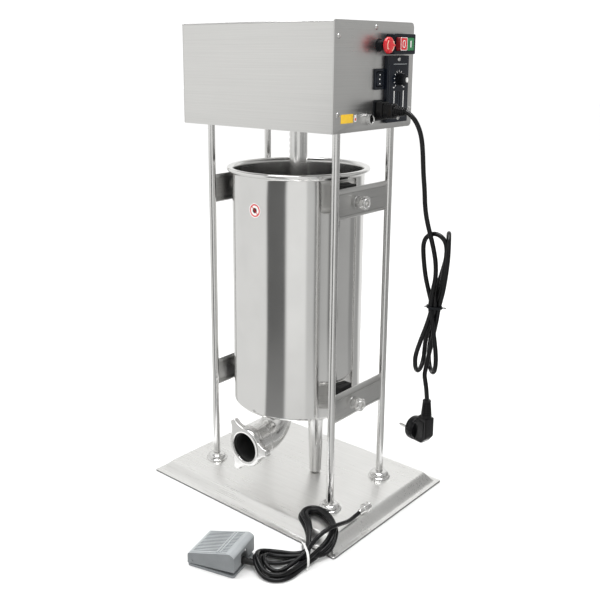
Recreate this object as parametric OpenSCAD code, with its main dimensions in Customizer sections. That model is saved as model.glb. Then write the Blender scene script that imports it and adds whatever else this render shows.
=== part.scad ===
// Electric vertical sausage stuffer: base tray, four columns, clamped meat
// cylinder, rack-driven piston, gear motor housing with its controls, mains
// lead and foot pedal. Millimetres, +Z up, +X to the control side, -Y to the
// outlet. The origin is on the floor under the cylinder's axis.

/* [Base] */
// Width of the base tray
base_w = 414; // [400:1:460]
// Depth of the base tray
base_d = 314; // [310:1:340]
// Height of the base tray's flat top
base_h = 20; // [18:1:24]
// Width of the tray's shaped skirt
base_skirt = 24; // [18:1:26]

/* [Columns] */
// Diameter of each column
column_d = 12; // [10:0.5:14]
// Columns' distance from the axis, sideways
column_x = 132; // [130:1:136]
// Columns' distance from the axis, front to back
column_y = 71; // [68:1:76]

/* [Cylinder] */
// Outer diameter of the meat cylinder
cylinder_d = 220; // [218:1:221]
// Wall of the meat cylinder
cylinder_wall = 2; // [1.5:0.5:2.5]
// Height of the cylinder's underside
cylinder_z = 157.5; // [156:0.5:159]
// Height of the cylinder's rim
rim_z = 568; // [560:1:572]
// Outer diameter of the flared rim
rim_d = 239; // [232:1:242]

/* [Outlet] */
// Bore of the outlet pipe
outlet_bore = 46; // [40:1:46]
// Height of the outlet pipe's axis
outlet_z = 108; // [106:1:110]
// Front face of the ring nut
outlet_front = 136; // [132:1:140]

/* [Housing] */
// Width of the drive housing
box_w = 313; // [305:1:320]
// Depth of the drive housing
box_d = 205; // [200:1:212]
// Height of the drive housing
box_h = 160; // [156:1:170]
// Height of the housing's underside
box_z = 636; // [634:1:642]

/* [Drive] */
// Diameter of the rack bar
rack_d = 30; // [28:1:32]
// Gear module of the rack and its pinion
rack_module = 3; // [3:1:3]
// Teeth on the pinion
pinion_teeth = 12; // [12:1:12]
// Piston travel
piston_travel = 405; // [380:1:405]

/* [Cords] */
// Diameter of the mains lead
mains_d = 7; // [6:0.5:8]
// Diameter of the pedal's cable
pedal_cord_d = 6.5; // [6:0.5:7]

/* [Hidden] */

steel = [0.80, 0.80, 0.79];
chrome = [0.88, 0.88, 0.88];
iron = [0.45, 0.46, 0.48];
black = [0.08, 0.08, 0.09];
grey_plastic = [0.66, 0.68, 0.69];
red = [0.80, 0.12, 0.14];
green = [0.20, 0.55, 0.25];
bronze = [0.72, 0.52, 0.26];
white = [0.92, 0.92, 0.90];

eps = 0.01;
fit_gap = 0.1;      // radial clearance of a running fit
sheet = 2;          // thickness of the folded sheet steel

// Housing walls
box_cx = -5;
box_cy = -2.5;
box_x0 = box_cx - box_w / 2;
box_x1 = box_cx + box_w / 2;
box_y0 = box_cy - box_d / 2;
box_y1 = box_cy + box_d / 2;
box_top = box_z + box_h;
cover_t = 1.5;

// Cylinder and piston
cyl_r = cylinder_d / 2;
cyl_in = cyl_r - cylinder_wall;
outlet_r = outlet_bore / 2;
outlet_y = -50;     // axis of the outlet hole in the cylinder's floor
elbow_r = 38;       // bend radius of the outlet elbow's centreline
pipe_wall = 3;
piston_z = 175;     // underside of the piston plate at rest
piston_t = 16;
rod_spigot_r = 10;

// Rack and pinion
pitch = PI * rack_module;
pressure = 25;
pinion_r = rack_module * pinion_teeth / 2;
addendum = 0.8 * rack_module;
dedendum = 1.1 * rack_module;
tooth_half = (pitch / 2 - 0.3) / 2;
rack_pitch_x = -10.5;
pinion_x = rack_pitch_x - pinion_r;
pinion_z = 700;
rack_top = 722;
wheel_y = 48;       // middle of the worm wheel
worm_z = 750;
worm_r = 9;
wheel_r = 40;

// Clamps
bracket_h = 48;
bracket_upper_z = 524;
bracket_lower_z = 189;
bracket_x = 134;    // outer face of each bracket's web
clamp_y = -15;
clamp_r = 5;
pad_w = 32;
pad_back = 119;

// Controls on the right panel
panel_x = box_x1;
estop_y = 4;
estop_z = 761;
switch_y = 53;
switch_z = 763;
button_y = 15;      // half the distance between the two buttons
speed_y = 49.5;
speed_z = 695.5;
knob_y = 51.5;
knob_z = 710;
rocker_y = 5.8;
rocker_z = 711.3;
inlet_y = 5;
inlet_z = 665;
socket_y = -19;
socket_z = 653;

// Foot pedal, in its own frame: x along its length, y across
pedal_at = [50, -313, 0];
pedal_turn = 16;
pedal_l = 79;
pedal_w = 66;
pedal_pin_x = 7;
pedal_pin_z = 9.6;

// Mains lead: out of its connector down to the hank, then on to the plug
mains_route_a = [
    [203, 5, 665], [209, 5, 662], [215, 5, 657.5], [221.5, 5, 650],
    [227, 5, 640], [231, 5, 628], [233.5, 5, 613], [235, 5, 598],
    [237, 5, 575], [240, 5, 551], [242, 5, 528], [246, 5, 508],
    [252, 5, 489]];
mains_route_b = [
    [252, 8, 263], [253, 9, 254], [254.5, 10, 243], [255.5, 11, 232], [256, 12, 221]];
mains_hank_at = [259, 16, 0];
mains_hank_turn = 42;
mains_hank_t = 40;
mains_waist = 10;     // half the hank's thickness at its tie
plug_at = [256, 12, 165];
plug_turn = -12;

// Pedal cable: out of the pedal into the hank, then up on to the tray
pedal_route_a = [[118, -257, 11], [126, -252, 10], [134, -246, 10]];
pedal_route_b = [
    [189.5, -118, 36], [189, -107, 32], [187.5, -96, 29], [186, -85, 27.5],
    [185.3, -75, 27.4], [185, -66, 28.2], [185, -58, 28.6]];

// ---- helpers ----

function arc(c, r, a0, a1, n) =
    [for (i = [0:n]) let (a = a0 + (a1 - a0) * i / n) c + r * [cos(a), sin(a)]];

function involute(a) = tan(a) * 180 / PI - a;

// Unit vector along the route at point i
function along(p, i) =
    let (a = p[max(i - 1, 0)], b = p[min(i + 1, len(p) - 1)]) (b - a) / norm(b - a);

// Ring of points round route point i
function ring(p, i, r, n) =
    let (
        t = along(p, i),
        side = cross(t, abs(t[2]) > 0.8 ? [0, 1, 0] : [0, 0, 1]),
        u = side / norm(side),
        v = cross(u, t))
    [for (k = [0:n - 1]) p[i] + r * (cos(360 * k / n) * u + sin(360 * k / n) * v)];

module sweep_tube(p, r, n = 10) {
    m = len(p);
    points = [for (i = [0:m - 1]) each ring(p, i, r, n)];
    sides = [for (i = [0:m - 2]) for (k = [0:n - 1])
        [i * n + k, i * n + (k + 1) % n, (i + 1) * n + (k + 1) % n, (i + 1) * n + k]];
    first = [[for (k = [0:n - 1]) n - 1 - k]];
    last = [[for (k = [0:n - 1]) (m - 1) * n + k]];
    polyhedron(points, concat(first, sides, last));
}

// Cylinder along +X from x0 to x1
module x_bar(x0, x1, r, y = 0, z = 0, n = 48) {
    translate([x0, y, z]) rotate([0, 90, 0]) cylinder(h = x1 - x0, r = r, $fn = n);
}

// Cylinder along +Y from y0 to y1
module y_bar(y0, y1, r, x = 0, z = 0, n = 48) {
    translate([x, y1, z]) rotate([90, 0, 0]) cylinder(h = y1 - y0, r = r, $fn = n);
}

// Box from its low corner to its high corner
module span(a, b) {
    translate(a) cube(b - a);
}

module at_columns() {
    for (sx = [-1, 1])
        for (sy = [-1, 1])
            translate([sx * column_x, sy * column_y, 0]) children();
}

// Places a part made for the right side: side is 1 for right, -1 for left
module to_side(side, z) {
    translate([0, 0, z])
        if (side > 0) children();
        else mirror([1, 0, 0]) children();
}

// ---- base ----

// Half outline of the tray: flat top, ogee skirt, thin lip
function tray_half(w, h) =
    let (lip = 6, lip_h = h * 0.15, run = base_skirt - lip, top = w / 2 - base_skirt)
    concat(
        [for (i = [0:8]) [top + run * i / 8,
            lip_h + (h - lip_h) * (0.5 + 0.5 * cos(180 * i / 8))]],
        [[w / 2, lip_h]]);

function tray_outline(w, h, floor) =
    let (half = tray_half(w, h))
    concat(
        [[w / 2, floor]],
        [for (i = [len(half) - 1:-1:0]) half[i]],
        [for (p = half) [-p[0], p[1]]],
        [[-w / 2, floor]]);

module tray_body(w, d, h, floor) {
    intersection() {
        translate([0, d / 2, 0]) rotate([90, 0, 0])
            linear_extrude(d) polygon(tray_outline(w, h, floor));
        translate([-w / 2, 0, 0]) rotate([90, 0, 90])
            linear_extrude(w) polygon(tray_outline(d, h, floor));
    }
}

module base_plate() {
    color(steel) difference() {
        tray_body(base_w, base_d, base_h, 0);
        tray_body(base_w - 2 * sheet, base_d - 2 * sheet, base_h - sheet, -1);
        at_columns() translate([0, 0, base_h - 5]) cylinder(h = 10, r = column_d / 2 + 0.2, $fn = 48);
    }
}

// Rectangular tube under the middle of the tray, flush with its lip
module base_stiffener() {
    tube_l = 340;
    tube_w = 40;
    tube_h = base_h - sheet;
    color(iron) difference() {
        span([-tube_l / 2, -tube_w / 2, 0], [tube_l / 2, tube_w / 2, tube_h]);
        span([-tube_l / 2 - 1, -tube_w / 2 + sheet, sheet],
            [tube_l / 2 + 1, tube_w / 2 - sheet, tube_h - sheet]);
    }
}

// ---- columns ----

module columns() {
    color(chrome) at_columns() translate([0, 0, 7])
        cylinder(h = box_z + 14 - 7, r = column_d / 2, $fn = 48);
}

// Domed flange where each column meets the tray
module column_flanges() {
    flange_r = 19;
    dome_h = 10.5;
    bore = column_d / 2 + 0.05;
    color(chrome) at_columns() translate([0, 0, base_h])
        rotate_extrude($fn = 64) polygon(concat(
            [[bore, 0], [flange_r, 0], [flange_r, 2]],
            [for (i = [0:5]) let (a = 15 * i)
                [flange_r - 1.5 - 8.5 * (1 - cos(a)), 3 + (dome_h - 3) * sin(a)]],
            [[bore, dome_h]]));
}

module hex_nut(af, h, bore) {
    difference() {
        cylinder(h = h, r = af / 2 / cos(30), $fn = 6);
        translate([0, 0, -1]) cylinder(h = h + 2, r = bore, $fn = 48);
    }
}

module column_nuts() {
    color(steel) at_columns() {
        translate([0, 0, base_h - sheet - 8]) hex_nut(18, 8, column_d / 2 + 0.05);
        translate([0, 0, box_z + sheet]) hex_nut(18, 8, column_d / 2 + 0.05);
    }
}

// ---- clamps ----

// Channel section of a bracket, in x and z, with bevelled corners
module bracket_section() {
    h = bracket_h / 2;
    polygon([
        [bracket_x, h - 7], [bracket_x - 3.5, h], [bracket_x - 6, h],
        [bracket_x - 6, h - 2], [bracket_x - 4.4, h - 2], [bracket_x - sheet, h - 7.6],
        [bracket_x - sheet, 7.6 - h], [bracket_x - 4.4, 2 - h], [bracket_x - 6, 2 - h],
        [bracket_x - 6, -h], [bracket_x - 3.5, -h], [bracket_x, 7 - h]]);
}

module bracket() {
    reach = column_y - column_d / 2 + 0.5;
    difference() {
        union() {
            translate([0, reach, 0]) rotate([90, 0, 0]) linear_extrude(2 * reach) bracket_section();
            translate([bracket_x, clamp_y, 0]) rotate([0, 90, 0]) cylinder(h = 8, r = 9.8, $fn = 6);
        }
        x_bar(bracket_x - 5, bracket_x + 12, clamp_r + fit_gap, clamp_y);
    }
}

module clamp_brackets() {
    color(steel)
        for (side = [-1, 1])
            for (z = [bracket_lower_z, bracket_upper_z])
                to_side(side, z) bracket();
}

module clamp_screw() {
    knob_x = 143.5;
    difference() {
        union() {
            x_bar(pad_back - 2.8, knob_x + 1, clamp_r, clamp_y);
            x_bar(knob_x, knob_x + 9, 10.5, clamp_y, 0, 64);
            x_bar(knob_x - 1.2, knob_x, 7, clamp_y);
        }
        translate([knob_x + 5, clamp_y, 0]) rotate([0, 90, 0]) cylinder(h = 9, r = 4.6, $fn = 6);
        for (a = [0:30:330])
            translate([knob_x - 1, clamp_y + 11.4 * cos(a), 11.4 * sin(a)])
                rotate([0, 90, 0]) cylinder(h = 12, r = 1.6, $fn = 16);
    }
}

// Block with a face curved to the cylinder and a socket for the screw's tip
module clamp_pad() {
    difference() {
        span([100, clamp_y - pad_w / 2, -24.5], [pad_back, clamp_y + pad_w / 2, 25]);
        translate([0, 0, -30]) cylinder(h = 60, r = cyl_r + 0.3, $fn = 180);
        x_bar(pad_back - 3, pad_back + 2, clamp_r + fit_gap, clamp_y);
    }
}

module clamp_screw_upper_right() {
    color(chrome) to_side(1, bracket_upper_z) clamp_screw();
}

module clamp_screw_upper_left() {
    color(chrome) to_side(-1, bracket_upper_z) clamp_screw();
}

module clamp_screw_lower_right() {
    color(chrome) to_side(1, bracket_lower_z) clamp_screw();
}

module clamp_screw_lower_left() {
    color(chrome) to_side(-1, bracket_lower_z) clamp_screw();
}

module clamp_pad_upper_right() {
    color(black) to_side(1, bracket_upper_z) clamp_pad();
}

module clamp_pad_upper_left() {
    color(black) to_side(-1, bracket_upper_z) clamp_pad();
}

module clamp_pad_lower_right() {
    color(black) to_side(1, bracket_lower_z) clamp_pad();
}

module clamp_pad_lower_left() {
    color(black) to_side(-1, bracket_lower_z) clamp_pad();
}

// ---- cylinder and outlet ----

// Wall, floor and flared, rolled rim of the cylinder, in radius and height
module cylinder_section() {
    w = cylinder_wall;
    c = 6;
    flare = rim_z - 10;
    rim_r = rim_d / 2;
    polygon(concat(
        [[0, cylinder_z]],
        arc([cyl_r - c, cylinder_z + c], c, -90, 0, 6),
        [[cyl_r, flare], [cyl_r + 2.5, flare + 3.5], [rim_r - 1, rim_z - 4],
            [rim_r, rim_z - 3], [rim_r, rim_z - 1], [rim_r - 1, rim_z],
            [rim_r - 2.5, rim_z - 1], [cyl_r + 1, flare + 5], [cyl_in, flare + 1]],
        arc([cyl_r - c, cylinder_z + c], c - w, 0, -90, 6),
        [[0, cylinder_z + w]]));
}

module cylinder_body() {
    color(chrome) difference() {
        rotate_extrude($fn = 180) cylinder_section();
        translate([0, outlet_y, cylinder_z - 5]) cylinder(h = 12, r = outlet_r, $fn = 64);
    }
}

// Tapered foot that carries the cylinder on the tray
module cylinder_leg() {
    top_r = 15.5;
    tip_r = 10.5;
    color(chrome) translate([37, 9, 0]) rotate_extrude($fn = 64) polygon(concat(
        [[0, base_h]],
        arc([tip_r - 6, base_h + 6], 6, -90, -8, 6),
        [[tip_r, base_h + 7], [top_r, cylinder_z], [0, cylinder_z]]));
}

module annulus(r_out, r_in) {
    difference() {
        circle(r = r_out, $fn = 64);
        circle(r = r_in, $fn = 64);
    }
}

module outlet_elbow() {
    ro = outlet_r + pipe_wall;
    bend_z = outlet_z + elbow_r;
    bend_y = outlet_y - elbow_r;
    thread_y = -outlet_front + 18;
    color(chrome) {
        translate([0, outlet_y, bend_z]) linear_extrude(cylinder_z - bend_z) annulus(ro, outlet_r);
        translate([0, bend_y, bend_z]) rotate([0, 90, 0]) rotate_extrude(angle = 90, $fn = 64)
            translate([elbow_r, 0]) annulus(ro, outlet_r);
        translate([0, bend_y, outlet_z]) rotate([90, 0, 0])
            linear_extrude(bend_y - thread_y) annulus(ro, outlet_r);
        translate([0, thread_y, outlet_z]) rotate([90, 0, 0])
            linear_extrude(13) annulus(ro + 2, outlet_r);
    }
}

// Wing of the ring nut, pointing along +X in its own plane
module ring_lug() {
    polygon([[28, -16], [44, -7], [49, -5], [50, -3], [50, 3], [49, 5], [44, 7], [28, 16]]);
}

module outlet_ring_nut() {
    color(chrome) translate([0, -outlet_front, outlet_z]) rotate([-90, 0, 0])
        difference() {
            union() {
                cylinder(h = 20, r = 33.5, $fn = 64);
                for (a = [-5, 115, 235])
                    rotate([0, 0, a]) linear_extrude(11) ring_lug();
            }
            translate([0, 0, -1]) cylinder(h = 30, r = outlet_r + 2, $fn = 64);
            translate([0, 0, 4.5]) cylinder(h = 30, r = outlet_r + pipe_wall + 2.3, $fn = 64);
        }
}

// ---- housing ----

module housing_floor() {
    rim = 8;
    color(steel) difference() {
        span([box_x0 + sheet, box_y0 + cover_t, box_z], [box_x1 - sheet, box_y1 - cover_t, box_z + rim]);
        span([box_x0 + 2 * sheet, box_y0 + cover_t + sheet, box_z + sheet],
            [box_x1 - 2 * sheet, box_y1 - cover_t - sheet, box_z + rim + 1]);
        at_columns() translate([0, 0, box_z - 1])
            cylinder(h = 5, r = column_d / 2 + 0.2, $fn = 48);
        translate([0, 0, box_z - 1]) cylinder(h = 5, r = 22, $fn = 64);
    }
}

// Side view of the folded cover, in y and z, shrunk by an inset
function cover_outline(inset) =
    let (
        y0 = box_y0 + inset,
        y1 = box_y1 - inset,
        top = box_top - inset,
        rf = 4 - inset,
        rb = 9 - inset)
    concat(
        [[y0, box_z]],
        arc([y0 + rf, top - rf], rf, 180, 90, 4),
        arc([y1 - rb, top - rb], rb, 90, 0, 8),
        [[y1, box_z]]);

module housing_cover() {
    color(steel) difference() {
        translate([box_x0 + sheet, 0, 0]) rotate([90, 0, 90])
            linear_extrude(box_w - 2 * sheet) polygon(cover_outline(0));
        translate([box_x0, 0, -eps]) rotate([90, 0, 90])
            linear_extrude(box_w) polygon(cover_outline(cover_t));
        translate([0, 0, box_top - 5]) cylinder(h = 10, r = 20, $fn = 64);
    }
}

// Side view of a side panel, rounded at the rear
function panel_outline() =
    concat(
        arc([box_y0 + 2, box_z + 2], 2, 270, 180, 3),
        arc([box_y0 + 2, box_top - 2], 2, 180, 90, 3),
        arc([box_y1 - 9, box_top - 9], 9, 90, 0, 8),
        arc([box_y1 - 9, box_z + 9], 9, 0, -90, 8));

module side_plate(x0) {
    translate([x0, 0, 0]) rotate([90, 0, 90]) linear_extrude(sheet) polygon(panel_outline());
}

screw_places = [
    [box_y0 + 10, box_top - 23], [box_y0 + 10, box_z + 27], [box_y1 - 6, box_z + 27],
    [box_y1 - 6, box_top - 23], [-3.5, box_top - 9]];

module side_panel_left() {
    color(steel) difference() {
        side_plate(box_x0);
        for (p = screw_places)
            x_bar(box_x0 - 1, box_x0 + 5, 1.9, p[0], p[1], 24);
    }
}

module side_panel_right() {
    color(steel) difference() {
        side_plate(box_x1 - sheet);
        for (p = screw_places)
            x_bar(box_x1 - 5, box_x1 + 1, 1.9, p[0], p[1], 24);
        x_bar(box_x1 - 5, box_x1 + 1, 8, estop_y, estop_z);
        x_bar(box_x1 - 5, box_x1 + 1, 7, socket_y, socket_z);
        panel_cut(switch_y, switch_z, 50, 22);
        panel_cut(speed_y, speed_z, 46, 78);
        panel_cut(rocker_y, rocker_z, 21.6, 26.6);
        panel_cut(inlet_y, inlet_z, 20.6, 24.6);
    }
}

module panel_cut(y, z, w, h) {
    span([box_x1 - 5, y - w / 2, z - h / 2], [box_x1 + 1, y + w / 2, z + h / 2]);
}

module panel_screws() {
    color(chrome)
        for (p = screw_places) {
            x_bar(box_x1, box_x1 + 2.2, 3.6, p[0], p[1], 32);
            x_bar(box_x1 - 6, box_x1, 1.7, p[0], p[1], 24);
            x_bar(box_x0 - 2.2, box_x0, 3.6, p[0], p[1], 32);
            x_bar(box_x0, box_x0 + 6, 1.7, p[0], p[1], 24);
        }
}

// ---- piston and rack ----

// Gaps between the rack's teeth, in x and z, cut from the bar's left side
module rack_cut() {
    tip_x = rack_pitch_x - addendum;
    root_x = rack_pitch_x + dedendum;
    tip_half = tooth_half - addendum * tan(pressure);
    root_half = tooth_half + dedendum * tan(pressure);
    last = floor((rack_top - 12 - pinion_z) / pitch);
    first = -floor((piston_travel + 22) / pitch);
    low = pinion_z + (first - 0.5) * pitch;
    high = pinion_z + (last + 0.5) * pitch;
    comb = [for (k = [first:last]) each [
        [tip_x, pinion_z + (k - 0.5) * pitch + tip_half],
        [root_x, pinion_z + (k - 0.5) * pitch + root_half],
        [root_x, pinion_z + (k + 0.5) * pitch - root_half],
        [tip_x, pinion_z + (k + 0.5) * pitch - tip_half]]];
    polygon(concat([[-rack_d, low]], [[tip_x, low]], comb, [[tip_x, high]], [[-rack_d, high]]));
}

module rack_bar() {
    hub_top = piston_z + piston_t + 12;
    color(chrome) difference() {
        union() {
            translate([0, 0, hub_top]) cylinder(h = rack_top - hub_top, r = rack_d / 2, $fn = 64);
            translate([0, 0, piston_z - 11])
                cylinder(h = hub_top - piston_z + 12, r = rod_spigot_r, $fn = 48);
        }
        translate([0, rack_d, 0]) rotate([90, 0, 0]) linear_extrude(2 * rack_d) rack_cut();
    }
}

module piston_plate() {
    r = cyl_in - 2.5;
    groove = cyl_in - 7;
    bore = rod_spigot_r + 0.05;
    color(steel) difference() {
        translate([0, 0, piston_z]) rotate_extrude($fn = 180) polygon([
            [bore, 0], [r - 2, 0], [r, 2], [r, 4], [groove, 4], [groove, 12], [r, 12],
            [r, 14], [r - 2, piston_t], [26, piston_t], [22, piston_t + 12], [bore, piston_t + 12]]);
        translate([0, 60, piston_z - 1]) cylinder(h = piston_t + 2, r = 6.2, $fn = 48);
    }
}

module piston_seal() {
    color(white) translate([0, 0, piston_z]) rotate_extrude($fn = 180) polygon([
        [cyl_in - 7, 4], [cyl_in - 1.2, 4], [cyl_in - 0.4, 6], [cyl_in - 0.4, 10],
        [cyl_in - 1.2, 12], [cyl_in - 7, 12]]);
}

module piston_nut() {
    color(steel) translate([0, 0, piston_z - 9]) hex_nut(30, 9, rod_spigot_r + 0.05);
}

// Relief valve that lets air out as the piston comes down on the meat
module air_valve() {
    color(steel) translate([0, 60, piston_z]) {
        translate([0, 0, -4]) cylinder(h = 2, r = 8.5, $fn = 48);
        translate([0, 0, -3]) cylinder(h = piston_t + 4, r = 6.1, $fn = 48);
        translate([0, 0, piston_t + 0.3]) cylinder(h = 3, r = 10, $fn = 48);
    }
}

// ---- drive inside the housing ----

module drive_frame() {
    deck = box_z + sheet;
    deck_t = 6;
    color(iron) difference() {
        union() {
            span([-84, -34, deck], [30, 72, deck + deck_t]);
            for (y = [-30, 20, 66])
                span([pinion_x - 16, y, deck + 1], [pinion_x + 14.5, y + 6, 725]);
            span([-80, 26, deck + 1], [-74, 72, 786]);
            span([20, 26, deck + 1], [26, 72, 770]);
        }
        translate([0, 0, deck - 1]) cylinder(h = deck_t + 2, r = 22, $fn = 64);
        y_bar(-40, 80, 11, pinion_x, pinion_z);
        x_bar(-90, 40, 11, wheel_y, worm_z);
    }
}

module ring_bush(r_out, r_in, h) {
    difference() {
        cylinder(h = h, r = r_out, $fn = 64);
        translate([0, 0, -1]) cylinder(h = h + 2, r = r_in, $fn = 64);
    }
}

// Guide bushes of the rack bar and plain bearings of both shafts
module bushes() {
    rack_in = rack_d / 2 + fit_gap;
    color(bronze) {
        translate([0, 0, box_z - 3]) ring_bush(22, rack_in, 15);
        translate([0, 0, box_top - 14]) ring_bush(20, rack_in, 14);
        for (y = [-24, 26, 72])
            translate([pinion_x, y, pinion_z]) rotate([90, 0, 0]) ring_bush(11, 8 + fit_gap, 6);
        for (x = [-80, 20])
            translate([x, wheel_y, worm_z]) rotate([0, 90, 0]) ring_bush(11, 6 + fit_gap, 6);
    }
}

module pinion_shaft() {
    color(steel) y_bar(-33, 75, 8, pinion_x, pinion_z);
}

// One tooth's half angle at radius r
function pinion_half(r) =
    let (base_r = pinion_r * cos(pressure))
    tooth_half / pinion_r * 180 / PI + involute(pressure)
        - (r > base_r ? involute(acos(base_r / r)) : 0);

module pinion_gear() {
    tip_r = pinion_r + addendum;
    root_r = pinion_r - dedendum;
    radii = [root_r, 16.4, 17.2, 18, 18.8, 19.6, tip_r];
    outline = [for (k = [0:pinion_teeth - 1]) let (mid = 360 * k / pinion_teeth) each concat(
        [for (r = radii) r * [cos(mid - pinion_half(r)), sin(mid - pinion_half(r))]],
        [for (i = [len(radii) - 1:-1:0]) let (r = radii[i])
            r * [cos(mid + pinion_half(r)), sin(mid + pinion_half(r))]])];
    color(steel) translate([pinion_x, 13, pinion_z]) rotate([90, 0, 0])
        linear_extrude(26) difference() {
            polygon(outline);
            circle(r = 8, $fn = 48);
        }
}

module worm_wheel() {
    teeth = 40;
    outline = [for (k = [0:teeth - 1]) let (a = 360 * k / teeth) each [
        (wheel_r - 4) * [cos(a - 2.6), sin(a - 2.6)], wheel_r * [cos(a - 1.2), sin(a - 1.2)],
        wheel_r * [cos(a + 1.2), sin(a + 1.2)], (wheel_r - 4) * [cos(a + 2.6), sin(a + 2.6)]]];
    color(bronze) translate([pinion_x, wheel_y + 8, pinion_z]) rotate([90, 0, 0])
        linear_extrude(16) difference() {
            polygon(outline);
            circle(r = 8, $fn = 48);
        }
}

module worm_shaft() {
    color(steel) {
        x_bar(-88, 28, 6, wheel_y, worm_z);
        x_bar(pinion_x - 26, pinion_x + 26, worm_r, wheel_y, worm_z);
    }
}

module drive_motor() {
    r = 34;
    color(iron) difference() {
        union() {
            x_bar(-152, -80, r, wheel_y, worm_z, 96);
            x_bar(-156, -152, 26, wheel_y, worm_z);
        }
        x_bar(-90, -70, 6 + fit_gap, wheel_y, worm_z);
    }
}

// ---- controls ----

module estop_collar() {
    color(black) difference() {
        union() {
            x_bar(panel_x - 26, panel_x, 7.8, estop_y, estop_z);
            x_bar(panel_x, panel_x + 2, 9.5, estop_y, estop_z);
            x_bar(panel_x, panel_x + 9.5, 7.2, estop_y, estop_z);
        }
        x_bar(panel_x - 14, panel_x + 12, 4.8, estop_y, estop_z);
    }
}

module estop_stem() {
    color(black) {
        x_bar(panel_x - 6, panel_x + 14.9, 4.5, estop_y, estop_z);
        x_bar(panel_x + 14.9, panel_x + 18, 3, estop_y, estop_z);
    }
}

module estop_head() {
    color(red) translate([panel_x + 15, estop_y, estop_z]) rotate([0, 90, 0])
        rotate_extrude($fn = 64) polygon([
            [3.1, 0], [10.5, 0], [12, 1], [12, 4], [11, 6], [7, 7.2], [0, 7.6], [0, 3.6], [3.1, 3.6]]);
}

// Black switch block: two round-cornered pockets hold the buttons
module switch_housing() {
    color(black) difference() {
        union() {
            span([panel_x, switch_y - 29, switch_z - 15], [panel_x + 14.5, switch_y + 29, switch_z + 15]);
            span([panel_x - 25, switch_y - 24.6, switch_z - 10.6],
                [panel_x, switch_y + 24.6, switch_z + 10.6]);
        }
        for (s = [-1, 1])
            span([panel_x + 6, switch_y + s * button_y - 9.6, switch_z - 10.1],
                [panel_x + 16, switch_y + s * button_y + 9.6, switch_z + 10.1]);
    }
}

module push_button(y, front) {
    span([panel_x + 9.5, y - 9.2, switch_z - 9.7], [panel_x + front, y + 9.2, switch_z + 9.7]);
}

module start_button() {
    color(green) push_button(switch_y + button_y, 15.5);
}

module stop_button() {
    color(red) push_button(switch_y - button_y, 23);
}

module speed_controller() {
    color(black) difference() {
        union() {
            span([panel_x, speed_y - 29.5, speed_z - 50.5], [panel_x + 6, speed_y + 29.5, speed_z + 50.5]);
            span([panel_x - 28, speed_y - 22.6, speed_z - 38.6],
                [panel_x, speed_y + 22.6, speed_z + 38.6]);
        }
        x_bar(panel_x - 6, panel_x + 10, 3.2, knob_y, knob_z);
    }
}

module speed_knob() {
    color(black) {
        x_bar(panel_x - 5, panel_x + 7, 3, knob_y, knob_z);
        x_bar(panel_x + 7, panel_x + 19, 8.5, knob_y, knob_z);
    }
}

module direction_bezel() {
    color(black) difference() {
        union() {
            span([panel_x, rocker_y - 12.4, rocker_z - 15.5], [panel_x + 2, rocker_y + 12.4, rocker_z + 15.5]);
            span([panel_x - 24, rocker_y - 10.6, rocker_z - 13.1],
                [panel_x, rocker_y + 10.6, rocker_z + 13.1]);
        }
        span([panel_x - 12, rocker_y - 8.5, rocker_z - 11.5], [panel_x + 5, rocker_y + 8.5, rocker_z + 11.5]);
    }
}

module direction_rocker() {
    pivot = panel_x - 3;
    color(black) translate([0, rocker_y + 8, rocker_z]) rotate([90, 0, 0]) linear_extrude(16)
        polygon([
            [pivot - 3, -4], [pivot, -10], [pivot + 6.5, -10.2], [pivot + 5, 0],
            [pivot + 6.5, 10.2], [pivot, 10], [pivot - 3, 4]]);
}

module power_inlet() {
    color(black) {
        span([panel_x, inlet_y - 12, inlet_z - 15.5], [panel_x + 2, inlet_y + 12, inlet_z + 15.5]);
        span([panel_x - 22, inlet_y - 10, inlet_z - 12], [panel_x, inlet_y + 10, inlet_z + 12]);
    }
}

module pedal_socket() {
    color(chrome) difference() {
        union() {
            x_bar(panel_x - 16, panel_x, 6.8, socket_y, socket_z);
            x_bar(panel_x, panel_x + 7.5, 8.3, socket_y, socket_z);
        }
        x_bar(panel_x - 6, panel_x + 9, 5.2, socket_y, socket_z);
    }
}

// ---- mains lead ----

// Straight connector with a tapered strain relief along +X
module power_connector() {
    color(black) {
        span([panel_x + 2, inlet_y - 9.5, inlet_z - 13.5], [panel_x + 34, inlet_y + 9.5, inlet_z + 13.5]);
        translate([panel_x + 34, inlet_y, inlet_z]) rotate([0, 90, 0])
            cylinder(h = 17, r1 = 7.5, r2 = 5, $fn = 32);
    }
}

module power_cord() {
    color(black) {
        sweep_tube(mains_route_a, mains_d / 2);
        sweep_tube(mains_route_b, mains_d / 2);
    }
}

// The hanging hank: its front outline and its side outline, each pinched at the tie
module power_cord_hank() {
    t = mains_hank_t / 2;
    w = mains_waist;
    color(black) translate(mains_hank_at) rotate([0, 0, mains_hank_turn]) intersection() {
        translate([0, t, 0]) rotate([90, 0, 0]) linear_extrude(mains_hank_t) polygon(concat(
            [[-10, 372], [-22, 436]], arc([-6, 474], 16, 190, 90, 5),
            arc([14, 480], 10, 90, 0, 4), [[10, 372]],
            arc([0, 273], 12, 0, -90, 4), arc([-10, 276], 15, -90, -180, 5),
            [[-23, 312]]));
        translate([-30, 0, 0]) rotate([90, 0, 90]) linear_extrude(60) polygon([
            [-w, 372], [-t, 330], [-t, 290], [-t / 2, 255], [t / 2, 255], [t, 290], [t, 330],
            [w, 372], [t, 420], [t, 470], [t / 2, 495], [-t / 2, 495], [-t, 470], [-t, 420]]);
    }
}

module power_cord_tie() {
    w = mains_waist;
    color(black) translate(mains_hank_at) rotate([0, 0, mains_hank_turn]) difference() {
        span([-14, -w - 2.5, 370], [14, w + 2.5, 374]);
        span([-12.2, -w - 0.6, 369], [12.2, w + 0.6, 375]);
    }
}

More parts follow.
